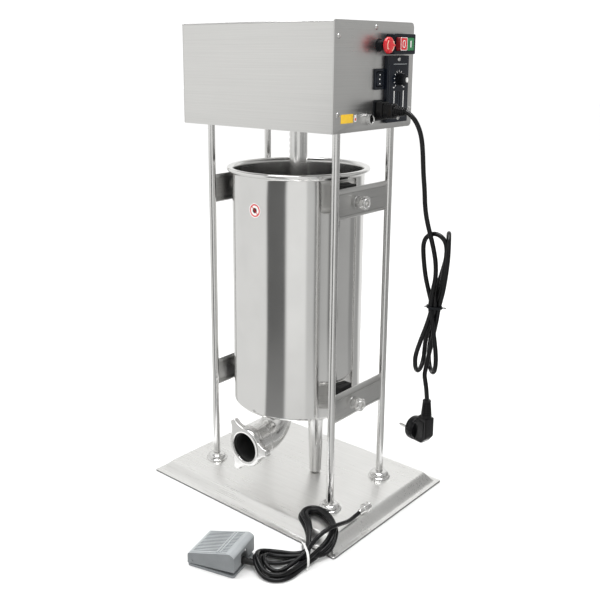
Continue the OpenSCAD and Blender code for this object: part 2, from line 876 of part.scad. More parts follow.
// Angled mains plug with two round pins, hanging from its strain relief.
// Its own frame has z up the relief and the pins along -x.
module in_plug() {
    translate(plug_at) rotate([0, 0, plug_turn]) children();
}

module power_plug() {
    face_x = -28;
    color(black) in_plug() {
        x_bar(face_x, face_x + 14, 19, 0, 0, 64);
        translate([0, 9, 0]) rotate([90, 0, 0]) linear_extrude(18) polygon([
            [face_x + 10, -17], [-1, -17], [9, -4], [9, 27], [-9, 27], [face_x + 10, 15]]);
        translate([0, 0, 26]) cylinder(h = 29, r1 = 8.8, r2 = 6.5, $fn = 32);
    }
    color(chrome) in_plug()
        for (s = [-1, 1])
            x_bar(face_x - 19, face_x + 1, 2.4, 9.5 * s, 0, 24);
}

// ---- foot pedal ----

module in_pedal() {
    translate(pedal_at) rotate([0, 0, pedal_turn]) children();
}

module pedal_base() {
    color(grey_plastic) in_pedal() difference() {
        union() {
            span([0, 0, 0], [pedal_l, pedal_w, 4]);
            span([3.5, 3.5, 0], [pedal_l - 3.5, pedal_w - 3.5, 15]);
            span([pedal_l - 12, pedal_w / 2 - 9, 4], [pedal_l - 1, pedal_w / 2 + 9, 19]);
        }
        span([6, 6, 3], [pedal_l - 15, pedal_w - 6, 20]);
        y_bar(-1, pedal_w + 1, 2.2, pedal_pin_x, pedal_pin_z, 32);
        x_bar(pedal_l - 20, pedal_l + 2, pedal_cord_d / 2, pedal_w / 2, 11, 32);
    }
}

// Wedge shell hinged at its low end, open below and at the cable's exit
module pedal_cover() {
    wall = 2.4;
    color(grey_plastic) in_pedal() difference() {
        translate([0, pedal_w, 0]) rotate([90, 0, 0]) linear_extrude(pedal_w) polygon([
            [0, 4.8], [0, 20], [1.5, 22], [70, 38.5], [76, 37.5], [pedal_l, 33], [pedal_l, 9.4]]);
        translate([0, pedal_w - wall, 0]) rotate([90, 0, 0]) linear_extrude(pedal_w - 2 * wall) polygon([
            [wall, 4], [wall, 19.5], [70, 35.8], [pedal_l - wall, 33], [pedal_l - wall, 4]]);
        span([pedal_l - 4, pedal_w / 2 - 11, 5], [pedal_l + 1, pedal_w / 2 + 11, 26]);
        y_bar(-1, pedal_w + 1, 2.2, pedal_pin_x, pedal_pin_z, 32);
    }
}

module pedal_pin() {
    color(chrome) in_pedal() y_bar(0.2, pedal_w - 0.2, 2.1, pedal_pin_x, pedal_pin_z, 32);
}

module pedal_switch() {
    color(black) in_pedal() {
        span([34, pedal_w / 2 - 10, 3], [54, pedal_w / 2 + 10, 24]);
        translate([44, pedal_w / 2, 23]) cylinder(h = 3.5, r = 2.5, $fn = 24);
    }
}

module pedal_cord() {
    color(black) {
        sweep_tube(pedal_route_a, pedal_cord_d / 2);
        sweep_tube(pedal_route_b, pedal_cord_d / 2);
    }
}

// Bow-tie hank: its front loop lies on the floor, its rear loop on the tray
module pedal_cord_hank() {
    edge = -base_d / 2 - 0.6;
    above = base_h + 0.6;
    color(black) {
        linear_extrude(21) polygon([
            [158, edge], [162, -176], [150, -192], [130, -204], [119, -218], [121, -240],
            [136, -256], [150, -265], [168, -268], [183, -260], [189, -240], [193, -212],
            [199, -190], [202, edge]]);
        translate([0, 0, above]) linear_extrude(15) polygon([
            [160, edge - 14], [158, edge], [150, -150], [128, -132], [116, -120], [112, -106],
            [118, -96], [132, -92], [152, -98], [172, -106], [186, -112], [194, -114], [198, -138],
            [202, edge], [200, edge - 14]]);
        span([162, edge - 12, 5], [198, edge, above + 12]);
    }
}

module pedal_cord_tie() {
    color(white) translate([177, -194, 0]) rotate([0, 0, -42]) difference() {
        span([-23, -2.2, 0], [23, 2.2, 24]);
        span([-21, -3, -1], [21, 3, 22.5]);
    }
}

// Round screw-on connector at the cable's end
module pedal_connector() {
    color(chrome) translate([185, -58, 28.6]) rotate([0, 0, 90]) {
        x_bar(0, 9, 5, 0, 0, 32);
        x_bar(8, 22, 8.5, 0, 0, 48);
    }
}

base_plate();
base_stiffener();
columns();
column_flanges();
column_nuts();
clamp_brackets();
clamp_screw_upper_right();
clamp_screw_upper_left();
clamp_screw_lower_right();
clamp_screw_lower_left();
clamp_pad_upper_right();
clamp_pad_upper_left();
clamp_pad_lower_right();
clamp_pad_lower_left();
cylinder_body();  // cylinder
cylinder_leg();
outlet_elbow();
outlet_ring_nut();
housing_floor();
housing_cover();
side_panel_left();
side_panel_right();
panel_screws();
bushes();
rack_bar();
piston_plate();
piston_seal();
piston_nut();
air_valve();
drive_frame();
pinion_shaft();
pinion_gear();
worm_wheel();
worm_shaft();
drive_motor();
estop_collar();
estop_stem();
estop_head();
switch_housing();
start_button();
stop_button();
speed_controller();
speed_knob();
direction_bezel();
direction_rocker();
power_inlet();
power_connector();
power_cord();
power_cord_hank();
power_cord_tie();
power_plug();
pedal_socket();
pedal_base();
pedal_cover();
pedal_pin();
pedal_switch();
pedal_cord();
pedal_cord_hank();
pedal_cord_tie();
pedal_connector();
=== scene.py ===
"""Sausage stuffer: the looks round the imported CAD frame.

Lengths are written in millimetres in the row frame and turned into metres when a mesh is made.
Order: camera, cords, then the object from the floor up, then light and floor.
"""
import math

import bmesh
import bpy
from mathutils import Matrix, Vector


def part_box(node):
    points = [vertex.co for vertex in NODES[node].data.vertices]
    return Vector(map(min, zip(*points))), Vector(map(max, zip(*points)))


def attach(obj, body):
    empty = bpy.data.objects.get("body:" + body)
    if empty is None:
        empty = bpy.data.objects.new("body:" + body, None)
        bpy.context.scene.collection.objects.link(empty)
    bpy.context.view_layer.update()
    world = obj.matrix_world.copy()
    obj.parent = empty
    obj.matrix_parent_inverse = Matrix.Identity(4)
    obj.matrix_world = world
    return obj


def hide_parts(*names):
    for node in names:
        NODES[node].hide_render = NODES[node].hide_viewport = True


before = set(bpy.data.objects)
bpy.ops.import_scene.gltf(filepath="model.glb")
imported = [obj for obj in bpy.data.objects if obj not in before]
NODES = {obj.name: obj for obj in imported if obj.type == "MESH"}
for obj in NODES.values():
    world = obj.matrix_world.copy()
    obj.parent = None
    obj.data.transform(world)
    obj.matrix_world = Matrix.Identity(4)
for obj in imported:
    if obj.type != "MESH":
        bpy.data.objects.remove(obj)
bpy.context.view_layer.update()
MM = 0.001


def box_mm(node):
    """Lowest and highest corner of a CAD node, in millimetres."""
    return [Vector(corner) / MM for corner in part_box(node)]


# ---------------------------------------------------------------- camera

def make_camera():
    data = bpy.data.cameras.new("camera")
    data.sensor_width = 36.0
    data.lens = 49.26
    data.shift_x = 0.045
    data.shift_y = -0.09
    camera = bpy.data.objects.new("camera", data)
    camera.location = (0.8718, -1.0436, 0.7507)
    camera.rotation_euler = (math.radians(76.73), 0.0, math.radians(41.65))
    bpy.context.scene.collection.objects.link(camera)
    bpy.context.scene.camera = camera


make_camera()


# ---------------------------------------------------------------- materials

def add_node(tree, kind, settings=None, **inputs):
    """New shader node. Each input is a value or the output of another node."""
    node = tree.nodes.new("ShaderNode" + kind)
    for name, value in (settings or {}).items():
        setattr(node, name, value)
    for name, value in inputs.items():
        connect(tree, node.inputs[name.replace("_", " ")], value)
    return node


def connect(tree, socket, value):
    if isinstance(value, bpy.types.NodeSocket):
        tree.links.new(value, socket)
    else:
        socket.default_value = value


class Shader:
    """A Principled material under construction, with short calls for the nodes it needs."""

    def __init__(self, name, colour, metallic=0.0, roughness=0.5):
        self.material = bpy.data.materials.new(name)
        self.material.use_nodes = True
        self.tree = self.material.node_tree
        self.bsdf = self.tree.nodes["Principled BSDF"]
        self.bsdf.inputs["Base Color"].default_value = (*colour, 1.0)
        self.bsdf.inputs["Metallic"].default_value = metallic
        self.bsdf.inputs["Roughness"].default_value = roughness

    def noise(self, scale, stretch=(1, 1, 1), detail=3.0, rough=0.5):
        coords = add_node(self.tree, "TexCoord").outputs["Object"]
        mapping = add_node(self.tree, "Mapping", Vector=coords, Scale=stretch).outputs["Vector"]
        return add_node(self.tree, "TexNoise", Vector=mapping, Scale=scale, Detail=detail,
                        Roughness=rough).outputs["Fac"]

    def remap(self, value, low, high, start=0.3, end=0.7):
        return add_node(self.tree, "MapRange", Value=value, From_Min=start, From_Max=end,
                        To_Min=low, To_Max=high).outputs["Result"]

    def combine(self, operation, a, b):
        node = add_node(self.tree, "Math", {"operation": operation})
        for socket, value in zip(node.inputs, (a, b)):
            connect(self.tree, socket, value)
        return node.outputs["Value"]

    def colours(self, factor, first, second):
        node = add_node(self.tree, "Mix", {"data_type": "RGBA"}, Factor=factor, A=(*first, 1.0),
                        B=(*second, 1.0))
        connect(self.tree, self.bsdf.inputs["Base Color"], node.outputs["Result"])

    def roughness(self, value):
        connect(self.tree, self.bsdf.inputs["Roughness"], value)

    def bump(self, *layers):
        """Each layer is (height, distance in millimetres)."""
        normal = None
        for value, distance in layers:
            node = add_node(self.tree, "Bump", Strength=1.0, Distance=distance * MM, Height=value)
            if normal:
                connect(self.tree, node.inputs["Normal"], normal)
            normal = node.outputs["Normal"]
        connect(self.tree, self.bsdf.inputs["Normal"], normal)


def brushed_steel(name, tone, stretch, roughness, depth=0.004, tint=(1.0, 0.995, 0.98)):
    """Steel with fine lines along the axis whose stretch is small, and faint cloudy smudges."""
    dark = [tone * 0.90 * t for t in tint]
    light = [min(tone * 1.06, 1.0) * t for t in tint]
    shader = Shader(name, light, metallic=1.0, roughness=roughness)
    lines = shader.noise(1.0, stretch, detail=5.0, rough=0.65)
    smudge = shader.noise(9.0, detail=4.0, rough=0.6)
    wear = shader.combine("MULTIPLY", shader.remap(lines, 0.35, 1.0), shader.remap(smudge, 0.75, 1.0))
    shader.colours(wear, dark, light)
    shader.roughness(shader.combine("ADD", shader.remap(lines, roughness - 0.05, roughness + 0.06),
                                    shader.remap(smudge, -0.03, 0.05)))
    shader.bump((lines, depth))
    return shader.material


def polished_steel(name, tone, roughness, dents=0.0, grain=(60, 60, 6), tint=(1.0, 0.995, 0.985)):
    """Bright steel with hair-fine scratches, finger smudges and, on castings, shallow dents."""
    shader = Shader(name, [tone * t for t in tint], metallic=1.0, roughness=roughness)
    scratches = shader.noise(14.0, grain, detail=6.0, rough=0.7)
    smudge = shader.noise(16.0, detail=3.0)
    shader.colours(shader.remap(smudge, 0.0, 1.0), [tone * 0.94 * t for t in tint], [tone * t for t in tint])
    shader.roughness(shader.combine("ADD", shader.remap(scratches, roughness * 0.75, roughness * 1.3),
                                    shader.remap(smudge, 0.0, roughness * 0.35)))
    layers = [(scratches, 0.0012)]
    if dents:
        layers.append((shader.noise(70.0, detail=2.0), dents))
    shader.bump(*layers)
    return shader.material


def moulded_plastic(name, colour, roughness, grain=900.0, depth=0.02, worn=1.35, shine=0.5):
    """Moulded plastic or rubber: fine grain, slight colour drift and rubbed, glossier patches."""
    shader = Shader(name, colour, roughness=roughness)
    shader.bsdf.inputs["Specular IOR Level"].default_value = shine
    fine = shader.noise(grain, detail=2.0)
    patches = shader.noise(28.0, detail=4.0, rough=0.6)
    shader.colours(shader.remap(patches, 0.0, 1.0), [c * 0.86 for c in colour],
                   [min(c * worn, 1.0) for c in colour])
    shader.roughness(shader.combine("ADD", shader.remap(patches, roughness - 0.06, roughness + 0.05),
                                    shader.remap(fine, -0.02, 0.03)))
    shader.bump((fine, depth))
    return shader.material


def cast_iron(name, colour, roughness):
    shader = Shader(name, colour, metallic=0.6, roughness=roughness)
    coarse = shader.noise(160.0, detail=6.0, rough=0.65)
    shader.colours(shader.remap(coarse, 0.0, 1.0), [c * 0.7 for c in colour], [c * 1.3 for c in colour])
    shader.roughness(shader.remap(coarse, roughness - 0.1, roughness + 0.12))
    shader.bump((coarse, 0.15))
    return shader.material


STEEL_COVER = brushed_steel("cover_steel", 0.745, (6, 900, 900), 0.34)
STEEL_PANEL = brushed_steel("panel_steel", 0.66, (900, 6, 900), 0.33)
STEEL_TRAY = brushed_steel("tray_steel", 0.88, (14, 420, 420), 0.30, depth=0.002)
STEEL_BRACKET = brushed_steel("bracket_steel", 0.60, (700, 8, 700), 0.32)
STEEL_CYLINDER = polished_steel("cylinder_steel", 0.88, 0.085, grain=(60, 60, 1.5))
STEEL_BORE = polished_steel("cylinder_bore_steel", 0.74, 0.16, grain=(6, 6, 0.8))
STEEL_ROD = polished_steel("rod_steel", 0.84, 0.15)
STEEL_CAST = polished_steel("cast_steel", 0.80, 0.16, dents=0.10, grain=(20, 20, 20))
STEEL_ZINC = polished_steel("zinc_steel", 0.78, 0.15, dents=0.02)
STEEL_KNOB = polished_steel("knob_steel", 0.92, 0.07, dents=0.35, grain=(20, 20, 20))
# Dark steel that paints shade: the shadow line along the tray's lip, the tray's underside and the rear ends
# of the brackets.
STEEL_PAINTED_SHADE = polished_steel("painted_shade_steel", 0.22, 0.38)
# Very dark steel that paints the shade inside the outlet pipe and between the threads of its end.
STEEL_DEEP_SHADE = polished_steel("deep_shade_painted_steel", 0.16, 0.45)
IRON = cast_iron("machined_iron", (0.16, 0.165, 0.175), 0.55)
BRONZE = polished_steel("bronze", 0.75, 0.25, tint=(0.95, 0.66, 0.34))
PAINT = moulded_plastic("motor_paint", (0.03, 0.033, 0.037), 0.38, grain=400.0, depth=0.03)
RUBBER = moulded_plastic("black_rubber", (0.012, 0.012, 0.012), 0.60, grain=700.0, depth=0.05, shine=0.3)
SILICONE = moulded_plastic("seal_silicone", (0.78, 0.78, 0.74), 0.45)
BLACK = moulded_plastic("black_plastic", (0.006, 0.007, 0.009), 0.34, grain=1100.0, depth=0.015, shine=0.22)
GLOSS_BLACK = moulded_plastic("gloss_black", (0.006, 0.008, 0.013), 0.22, grain=600.0, depth=0.006,
                              shine=0.24)
RED = moulded_plastic("red_plastic", (0.60, 0.018, 0.026), 0.26, grain=600.0, depth=0.006, worn=1.15)
DARK_RED = moulded_plastic("dark_red_plastic", (0.20, 0.008, 0.012), 0.35, worn=1.15)
GREEN = moulded_plastic("green_plastic", (0.022, 0.19, 0.065), 0.28, grain=600.0, depth=0.006, worn=1.15)
GREY = moulded_plastic("pedal_grey", (0.36, 0.38, 0.39), 0.46, grain=1400.0, depth=0.03, worn=1.08)
# Darker copy of the pedal grey: painted shade on the pedal's side faces and on its base.
GREY_PAINTED_SHADE = moulded_plastic("pedal_grey_painted_shade", (0.215, 0.228, 0.236), 0.50, grain=1400.0, depth=0.05,
                            worn=1.08)
PVC = moulded_plastic("cord_pvc", (0.004, 0.004, 0.0045), 0.22, grain=260.0, depth=0.015, worn=1.5,
                      shine=0.30)
WHITE = moulded_plastic("white_mark", (0.80, 0.80, 0.78), 0.45, worn=1.05)
TIE = moulded_plastic("white_tie", (0.82, 0.82, 0.80), 0.5, grain=500.0, depth=0.03, worn=1.04)
YELLOW = moulded_plastic("yellow_label", (0.80, 0.50, 0.02), 0.42, worn=1.08)
PALE_RED = moulded_plastic("arrow_mark", (0.85, 0.50, 0.38), 0.4, worn=1.05)


# ---------------------------------------------------------------- mesh building

# Maps an outline drawn in y and z, extruded along x, into the row frame.
ALONG_X = Matrix(((0, 0, 1, 0), (1, 0, 0, 0), (0, 1, 0, 0), (0, 0, 0, 1)))
# Maps an outline drawn in x and z, extruded along -y, into the row frame.
ALONG_Y = Matrix(((1, 0, 0, 0), (0, 0, -1, 0), (0, 1, 0, 0), (0, 0, 0, 1)))


def at(x, y, z):
    return Matrix.Translation((x, y, z))


def spoke(radius, degrees):
    """Point at a radius and an angle round the origin."""
    return (radius * math.cos(math.radians(degrees)), radius * math.sin(math.radians(degrees)))


def turn(axis, degrees):
    return Matrix.Rotation(math.radians(degrees), 4, axis)


def arc(centre, radius, start, end, steps):
    """Points of an arc in a plane, both ends included; angles in degrees."""
    angles = [math.radians(start + (end - start) * i / steps) for i in range(steps + 1)]
    return [(centre[0] + radius * math.cos(a), centre[1] + radius * math.sin(a)) for a in angles]


def round_rectangle(width, height, radius, steps=4):
    x = width / 2 - radius
    y = height / 2 - radius
    return (arc((x, y), radius, 0, 90, steps) + arc((-x, y), radius, 90, 180, steps)
            + arc((-x, -y), radius, 180, 270, steps) + arc((x, -y), radius, 270, 360, steps))


class Shape:
    """A mesh under construction, in millimetres of the row frame."""

    def __init__(self, place=None):
        self.bm = bmesh.new()
        self.place = place or Matrix.Identity(4)
        self.materials = []

    def _take(self, part, place, material):
        """Moves a finished part into this shape."""
        index = 0
        if material is not None:
            if material not in self.materials:
                self.materials.append(material)
            index = self.materials.index(material)
        for face in part.faces:
            face.material_index = index
            face.smooth = True
        bmesh.ops.transform(part, matrix=self.place @ (place or Matrix.Identity(4)), verts=part.verts)
        mesh = bpy.data.meshes.new("part")
        part.to_mesh(mesh)
        part.free()
        self.bm.from_mesh(mesh)
        bpy.data.meshes.remove(mesh)
        return self

    def block(self, low, high, bevel=0.6, segments=2, place=None, material=None):
        part = bmesh.new()
        low, high = Vector(low), Vector(high)
        size = high - low
        matrix = Matrix.Translation((low + high) / 2) @ Matrix.Diagonal((*size, 1.0))
        bmesh.ops.create_cube(part, size=1.0, matrix=matrix)
        if bevel:
            bmesh.ops.bevel(part, geom=part.edges[:], offset=min(bevel, min(size) * 0.45), segments=segments,
                            profile=0.6, affect="EDGES", clamp_overlap=True)
        return self._take(part, place, material)

    def prism(self, outline, low, high, bevel=0.0, segments=2, place=None, material=None, holes=()):
        """Extrudes an outline in the xy plane from z = low to z = high, with rounded rims."""
        part = bmesh.new()
        rings = [[part.verts.new((x, y, low)) for x, y in ring] for ring in [outline, *holes]]
        edges = [part.edges.new((ring[i], ring[(i + 1) % len(ring)])) for ring in rings
                 for i in range(len(ring))]
        if holes:
            bmesh.ops.triangle_fill(part, use_beauty=True, use_dissolve=False, edges=edges)
        else:
            part.faces.new(rings[0])
        bmesh.ops.recalc_face_normals(part, faces=part.faces[:])
        cap = part.faces[:]
        grown = bmesh.ops.extrude_face_region(part, geom=cap)
        moved = [v for v in grown["geom"] if isinstance(v, bmesh.types.BMVert)]
        bmesh.ops.translate(part, verts=moved, vec=(0, 0, high - low))
        bmesh.ops.recalc_face_normals(part, faces=part.faces[:])
        if bevel:
            rims = [e for e in part.edges if len(e.link_faces) == 2 and e.calc_face_angle(0.0) > 1.0
                    and abs(e.verts[0].co.z - e.verts[1].co.z) < 1e-4]
            bmesh.ops.bevel(part, geom=rims, offset=bevel, segments=segments, profile=0.6, affect="EDGES",
                            clamp_overlap=True)
        return self._take(part, place, material)

    def lathe(self, profile, steps=64, place=None, closed=False, material=None):
        """Turns (radius, height) points about z. closed joins the last point to the first."""
        part = bmesh.new()
        rings = []
        for radius, z in profile:
            if radius < 1e-6:
                rings.append([part.verts.new((0, 0, z))])
                continue
            rings.append([part.verts.new((radius * math.cos(2 * math.pi * k / steps),
                                          radius * math.sin(2 * math.pi * k / steps), z))
                          for k in range(steps)])
        pairs = list(zip(rings, rings[1:])) + ([(rings[-1], rings[0])] if closed else [])
        for first, second in pairs:
            for k in range(steps):
                corners = [first[k % len(first)], first[(k + 1) % len(first)],
                           second[(k + 1) % len(second)], second[k % len(second)]]
                unique = list(dict.fromkeys(corners))
                if len(unique) > 2:
                    part.faces.new(unique)
        bmesh.ops.recalc_face_normals(part, faces=part.faces[:])
        return self._take(part, place, material)

    def rod(self, start, end, radius, steps=32, edge=0.4, material=None, tip=None):
        """Round bar with softened ends; tip is its radius at the end where it tapers."""
        start, end = Vector(start), Vector(end)
        length = (end - start).length
        tip = radius if tip is None else tip
        edge = min(edge, radius * 0.4, length * 0.3)
        profile = [(0, 0), (radius - edge, 0), (radius, edge), (tip, length - edge), (tip - edge, length),
                   (0, length)]
        aim = (end - start).to_track_quat("Z", "Y").to_matrix().to_4x4()
        return self.lathe(profile, steps, Matrix.Translation(start) @ aim, material=material)

    def tube(self, path, radius, sides=12, material=None, closed=False):
        """Round tube along points, with closed ends."""
        part = bmesh.new()
        path = [Vector(p) for p in path]
        rings = []
        side = None
        count = len(path)
        for i, point in enumerate(path):
            before = path[i - 1] if i or closed else path[0]
            after = path[(i + 1) % count] if i < count - 1 or closed else path[-1]
            along = (after - before).normalized()
            if side is None:
                side = along.orthogonal().normalized()
            side = (side - along * side.dot(along)).normalized()
            other = along.cross(side)
            rings.append([part.verts.new(point + radius * (math.cos(2 * math.pi * k / sides) * side
                                                           + math.sin(2 * math.pi * k / sides) * other))
                          for k in range(sides)])
        pairs = list(zip(rings, rings[1:])) + ([(rings[-1], rings[0])] if closed else [])
        for first, second in pairs:
            for k in range(sides):
                part.faces.new((first[k], first[(k + 1) % sides], second[(k + 1) % sides], second[k]))
        if not closed:
            part.faces.new(rings[0][::-1])
            part.faces.new(rings[-1])
        bmesh.ops.recalc_face_normals(part, faces=part.faces[:])
        return self._take(part, None, material)

    def slab(self, outline, low, high, **settings):
        """A prism whose outline lies in y and z and whose thickness runs along x."""
        return self.prism(outline, low, high, place=ALONG_X, **settings)

    def face_out(self):
        bmesh.ops.recalc_face_normals(self.bm, faces=self.bm.faces[:])

    def cut(self, tool):
        """Takes another shape away from this one."""
        body = self._object("body")
        cutter = tool._object("cutter")
        modifier = body.modifiers.new("cut", "BOOLEAN")
        modifier.object = cutter
        modifier.operation = "DIFFERENCE"
        modifier.solver = "EXACT"
        bpy.context.view_layer.update()
        mesh = bpy.data.meshes.new_from_object(body.evaluated_get(bpy.context.evaluated_depsgraph_get()))
        self.bm.clear()
        self.bm.from_mesh(mesh)
        for item in (body, cutter):
            data = item.data
            bpy.data.objects.remove(item)
            bpy.data.meshes.remove(data)
        bpy.data.meshes.remove(mesh)
        return self

    def _object(self, name):
        mesh = bpy.data.meshes.new(name)
        self.bm.to_mesh(mesh)
        for material in self.materials:
            mesh.materials.append(material)
        item = bpy.data.objects.new(name, mesh)
        bpy.context.scene.collection.objects.link(item)
        return item

    def piece(self, name, body, material=None, stands_for=(), sharp=35.0):
        """Ends the shape: one object that rides on a body and may stand for CAD nodes."""
        if material is not None:
            self.materials = [material]
        bmesh.ops.remove_doubles(self.bm, verts=self.bm.verts, dist=0.0005)
        bmesh.ops.scale(self.bm, vec=(MM, MM, MM), verts=self.bm.verts)
        item = self._object(name)
        self.bm.free()
        item.data.set_sharp_from_angle(angle=math.radians(sharp))
        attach(item, body)
        if stands_for:
            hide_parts(*stands_for)
        return item


# ---------------------------------------------------------------- cords

def smooth_path(points, step=2.0):
    """Catmull-Rom curve through the points, resampled about every step millimetres."""
    points = [Vector(p) for p in points]
    ends = [points[0] * 2 - points[1], *points, points[-1] * 2 - points[-2]]
    out = []
    for a, b, c, d in zip(ends, ends[1:], ends[2:], ends[3:]):
        count = max(2, round((c - b).length / step))
        for i in range(count):
            t = i / count
            out.append(0.5 * (2 * b + (c - a) * t + (2 * a - 5 * b + 4 * c - d) * t * t
                              + (3 * b - a - 3 * c + d) * t ** 3))
    out.append(points[-1])
    return out


def relax(points, rounds, fixed=3):
    """Evens out small kinks, as a stiff cord does, and leaves both ends where they are."""
    points = [p.copy() for p in points]
    for _ in range(rounds):
        points = (points[:fixed]
                  + [(points[i - 1] + 2 * points[i] + points[i + 1]) / 4
                     for i in range(fixed, len(points) - fixed)]
                  + points[-fixed:])
    return points


def cord_piece(name, points, diameter, body, stands_for):
    curve = bpy.data.curves.new(name, "CURVE")
    curve.dimensions = "3D"
    curve.bevel_depth = diameter / 2 * MM
    curve.bevel_resolution = 5
    curve.use_fill_caps = True
    spline = curve.splines.new("POLY")
    spline.points.add(len(points) - 1)
    for target, point in zip(spline.points, points):
        target.co = (*(point * MM), 1.0)
    spline.use_smooth = True
    curve.materials.append(PVC)
    item = bpy.data.objects.new(name, curve)
    bpy.context.scene.collection.objects.link(item)
    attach(item, body)
    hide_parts(*stands_for)
    return item


MAINS_D = 7.0
MAINS_ROUTE_A = [
    (203, 5, 665), (209, 5, 662), (215, 5, 657.5), (221.5, 5, 650), (227, 5, 640), (231, 5, 628),
    (233.5, 5, 613), (235, 5, 598), (237, 5, 575), (240, 5, 551), (242, 5, 528), (246, 5, 508), (252, 5, 489)]
MAINS_ROUTE_B = [(252, 8, 263), (253, 9, 254), (254.5, 10, 243), (255.5, 11, 232), (256, 12, 221)]
HANK_PLACE = at(259, 16, 0) @ turn("Z", 42)
PLUG_PLACE = at(256, 12, 165) @ turn("Z", -12)

# The hank's five runs: across, away and height in the hank's own frame, from where the lead comes in.
HANK_TIE = 372.0
HANK_RUNS = [
    [(-12.6, -3.5, 489), (-6.5, -4.5, 466), (-2, -5, 442), (-1.5, -5, 418), (-5, -3, 394),
     (-6.5, -2, HANK_TIE), (-3.6, -6.5, 350), (0.2, -14, 320), (2.2, -18.4, 297), (2.2, -19, 287)],
    [(-0.3, 23, 287), (-0.1, 22.2, 299), (1.4, 16, 325), (3.2, 9, 350), (4.4, 5, HANK_TIE), (7.2, -0.5, 394),
     (9.2, -7.5, 420), (11.2, -13, 450), (11.6, -14, 467)],
    [(-18.1, 13, 467), (-17.4, 12.4, 450), (-13.8, 9.5, 420), (-8, 6, 394), (-3.2, 4, HANK_TIE),
     (-9, -2, 350), (-20, -10.5, 324), (-28.2, -18, 304), (-29.6, -19, 293)],
    [(-7.4, 23, 293), (-7.2, 22.2, 304), (-5.6, 14, 328), (-2.4, 4, 352), (0.3, -3.2, HANK_TIE),
     (0.8, 3, 394), (11, 11.5, 420), (20, 20, 450), (21.2, 21, 466)],
    [(12.6, -21, 466), (12.6, -20.2, 452), (12, -14, 424), (10.2, -7, 396), (6.8, -1, HANK_TIE), (4, -1, 350),
     (-1, -1, 320), (-6, -1.2, 290), (-10.6, -1.3, 263)]]


def fold(start, end, sense):
    """Half circle of the lead between two runs, up or down."""
    middle = (start + end) / 2
    half = (end - start) / 2
    angles = [math.radians(180 * i / 6) for i in range(1, 6)]
    return [middle - half * math.cos(a) + Vector((0, 0, sense * half.length * math.sin(a))) for a in angles]


def mains_path():
    hank = []
    for number, run in enumerate(HANK_RUNS):
        run = [Vector(p) for p in run]
        hank += run
        if number + 1 < len(HANK_RUNS):
            hank += fold(run[-1], Vector(HANK_RUNS[number + 1][0]), 1 if number % 2 else -1)
    hank = [HANK_PLACE @ p for p in hank]
    points = [Vector(p) for p in MAINS_ROUTE_A[:-1]] + hank[:-1] + [Vector(p) for p in MAINS_ROUTE_B]
    return relax(smooth_path(points), 12)


def power_connector():
    """Moulded connector: plug body, stepped grip and slotted, tapered strain relief along +x."""
    low, high = box_mm("power_connector")
    y, z = (low.y + high.y) / 2, 665.0
    face = box_mm("power_inlet")[1].x
    shape = Shape(at(0, y, z) @ ALONG_X)
    shape.prism(round_rectangle(19, 27, 3), face, face + 13, bevel=1.0)
    shape.prism(round_rectangle(17, 22, 4), face + 12, face + 30, bevel=2.4, segments=4)
    for k in range(3):
        shape.prism(round_rectangle(17.8, 22.8, 4), face + 15.5 + 4.2 * k, face + 17.3 + 4.2 * k, bevel=0.6)
    root = face + 28
    shape.rod((0, 0, root), (0, 0, high.x), 7.6, tip=4.6, edge=0.8)
    for k in range(5):
        ring = root + 5 + 3.4 * k
        shape.lathe(arc((7.5 - 0.5 * k, ring), 0.9, -90, 90, 6), 32)
    return shape.piece("mains_connector", "frame", PVC, ["power_connector"])


def power_plug():
    """Angled two-pin plug: round front, wedge-shaped grip, ribbed strain relief."""
    shape = Shape(PLUG_PLACE)
    face = -28.0
    sideways = turn("Y", 90)
    shape.lathe([(0, face), (15.5, face), (18.2, face + 0.8), (19, face + 2.5), (19, face + 9.5),
                 (18.4, face + 11.5), (17.2, face + 11.9), (17.2, face + 12.6), (16.4, face + 14.5),
                 (0, face + 15)], 64, sideways, material=PVC)
    grip = [(face + 9, -17), (-3, -17), (0, -16), (8, -6), (9, -3.5), (9, 26), (-9, 28), (-10, 17),
            (face + 9, 15.5)]
    shape.prism(grip, -9.2, 9.2, bevel=2.6, segments=4, place=ALONG_Y, material=PVC)
    shape.prism([(face + 12, -13), (-3, -13), (4, -4), (4, 20), (-7, 22), (face + 12, 11)], -10.4, 10.4,
                bevel=1.0, segments=3, place=ALONG_Y, material=PVC)
    relief = [(0, 24), (8.7, 24), (8.5, 28)]
    for k in range(6):
        z = 29.5 + 3.6 * k
        r = 8.4 - 0.32 * k
        relief += [(r, z), (r, z + 1.9), (r - 1.3, z + 2.2), (r - 1.3, z + 3.2)]
    relief += [(6.6, 52), (6.6, 54.4), (6.0, 55), (0, 55)]
    shape.lathe(relief, 40, material=PVC)
    for side in (-9.5, 9.5):
        pin = at(0, side, 0) @ turn("Y", -90)
        shape.lathe([(0, 27), (2.0, 27), (2.0, 37), (2.4, 37.4), (2.4, 45), (1.9, 46.6), (0.9, 47),
                     (0, 47)], 24, pin,
                    material=STEEL_ROD)
    return shape.piece("mains_plug", "frame", stands_for=["power_plug"])


def twist_tie(name, centre, across, up, half_width, half_height, material, node, tails):
    """Wire tie: a flattened loop round the bundle and two twisted tails."""
    across, up = Vector(across).normalized(), Vector(up).normalized()
    along = across.cross(up)
    shape = Shape()
    corner = min(half_width, half_height) * 0.8
    outline = round_rectangle(2 * half_width, 2 * half_height, corner, 5)
    loop = [Vector(centre) + across * x + up * y for x, y in outline]
    for shift in (-0.9, 0.0, 0.9):
        shape.tube([p + along * shift for p in loop], 0.95, 8, closed=True)
    for tail in tails:
        root = Vector(centre) + across * tail[0] + up * tail[1]
        tip = root + across * tail[2] + up * tail[3] + along * tail[4]
        shape.tube([root, root.lerp(tip, 0.5) + along * 0.8, tip], 0.9, 8)
    return shape.piece(name, "frame", material, [node])


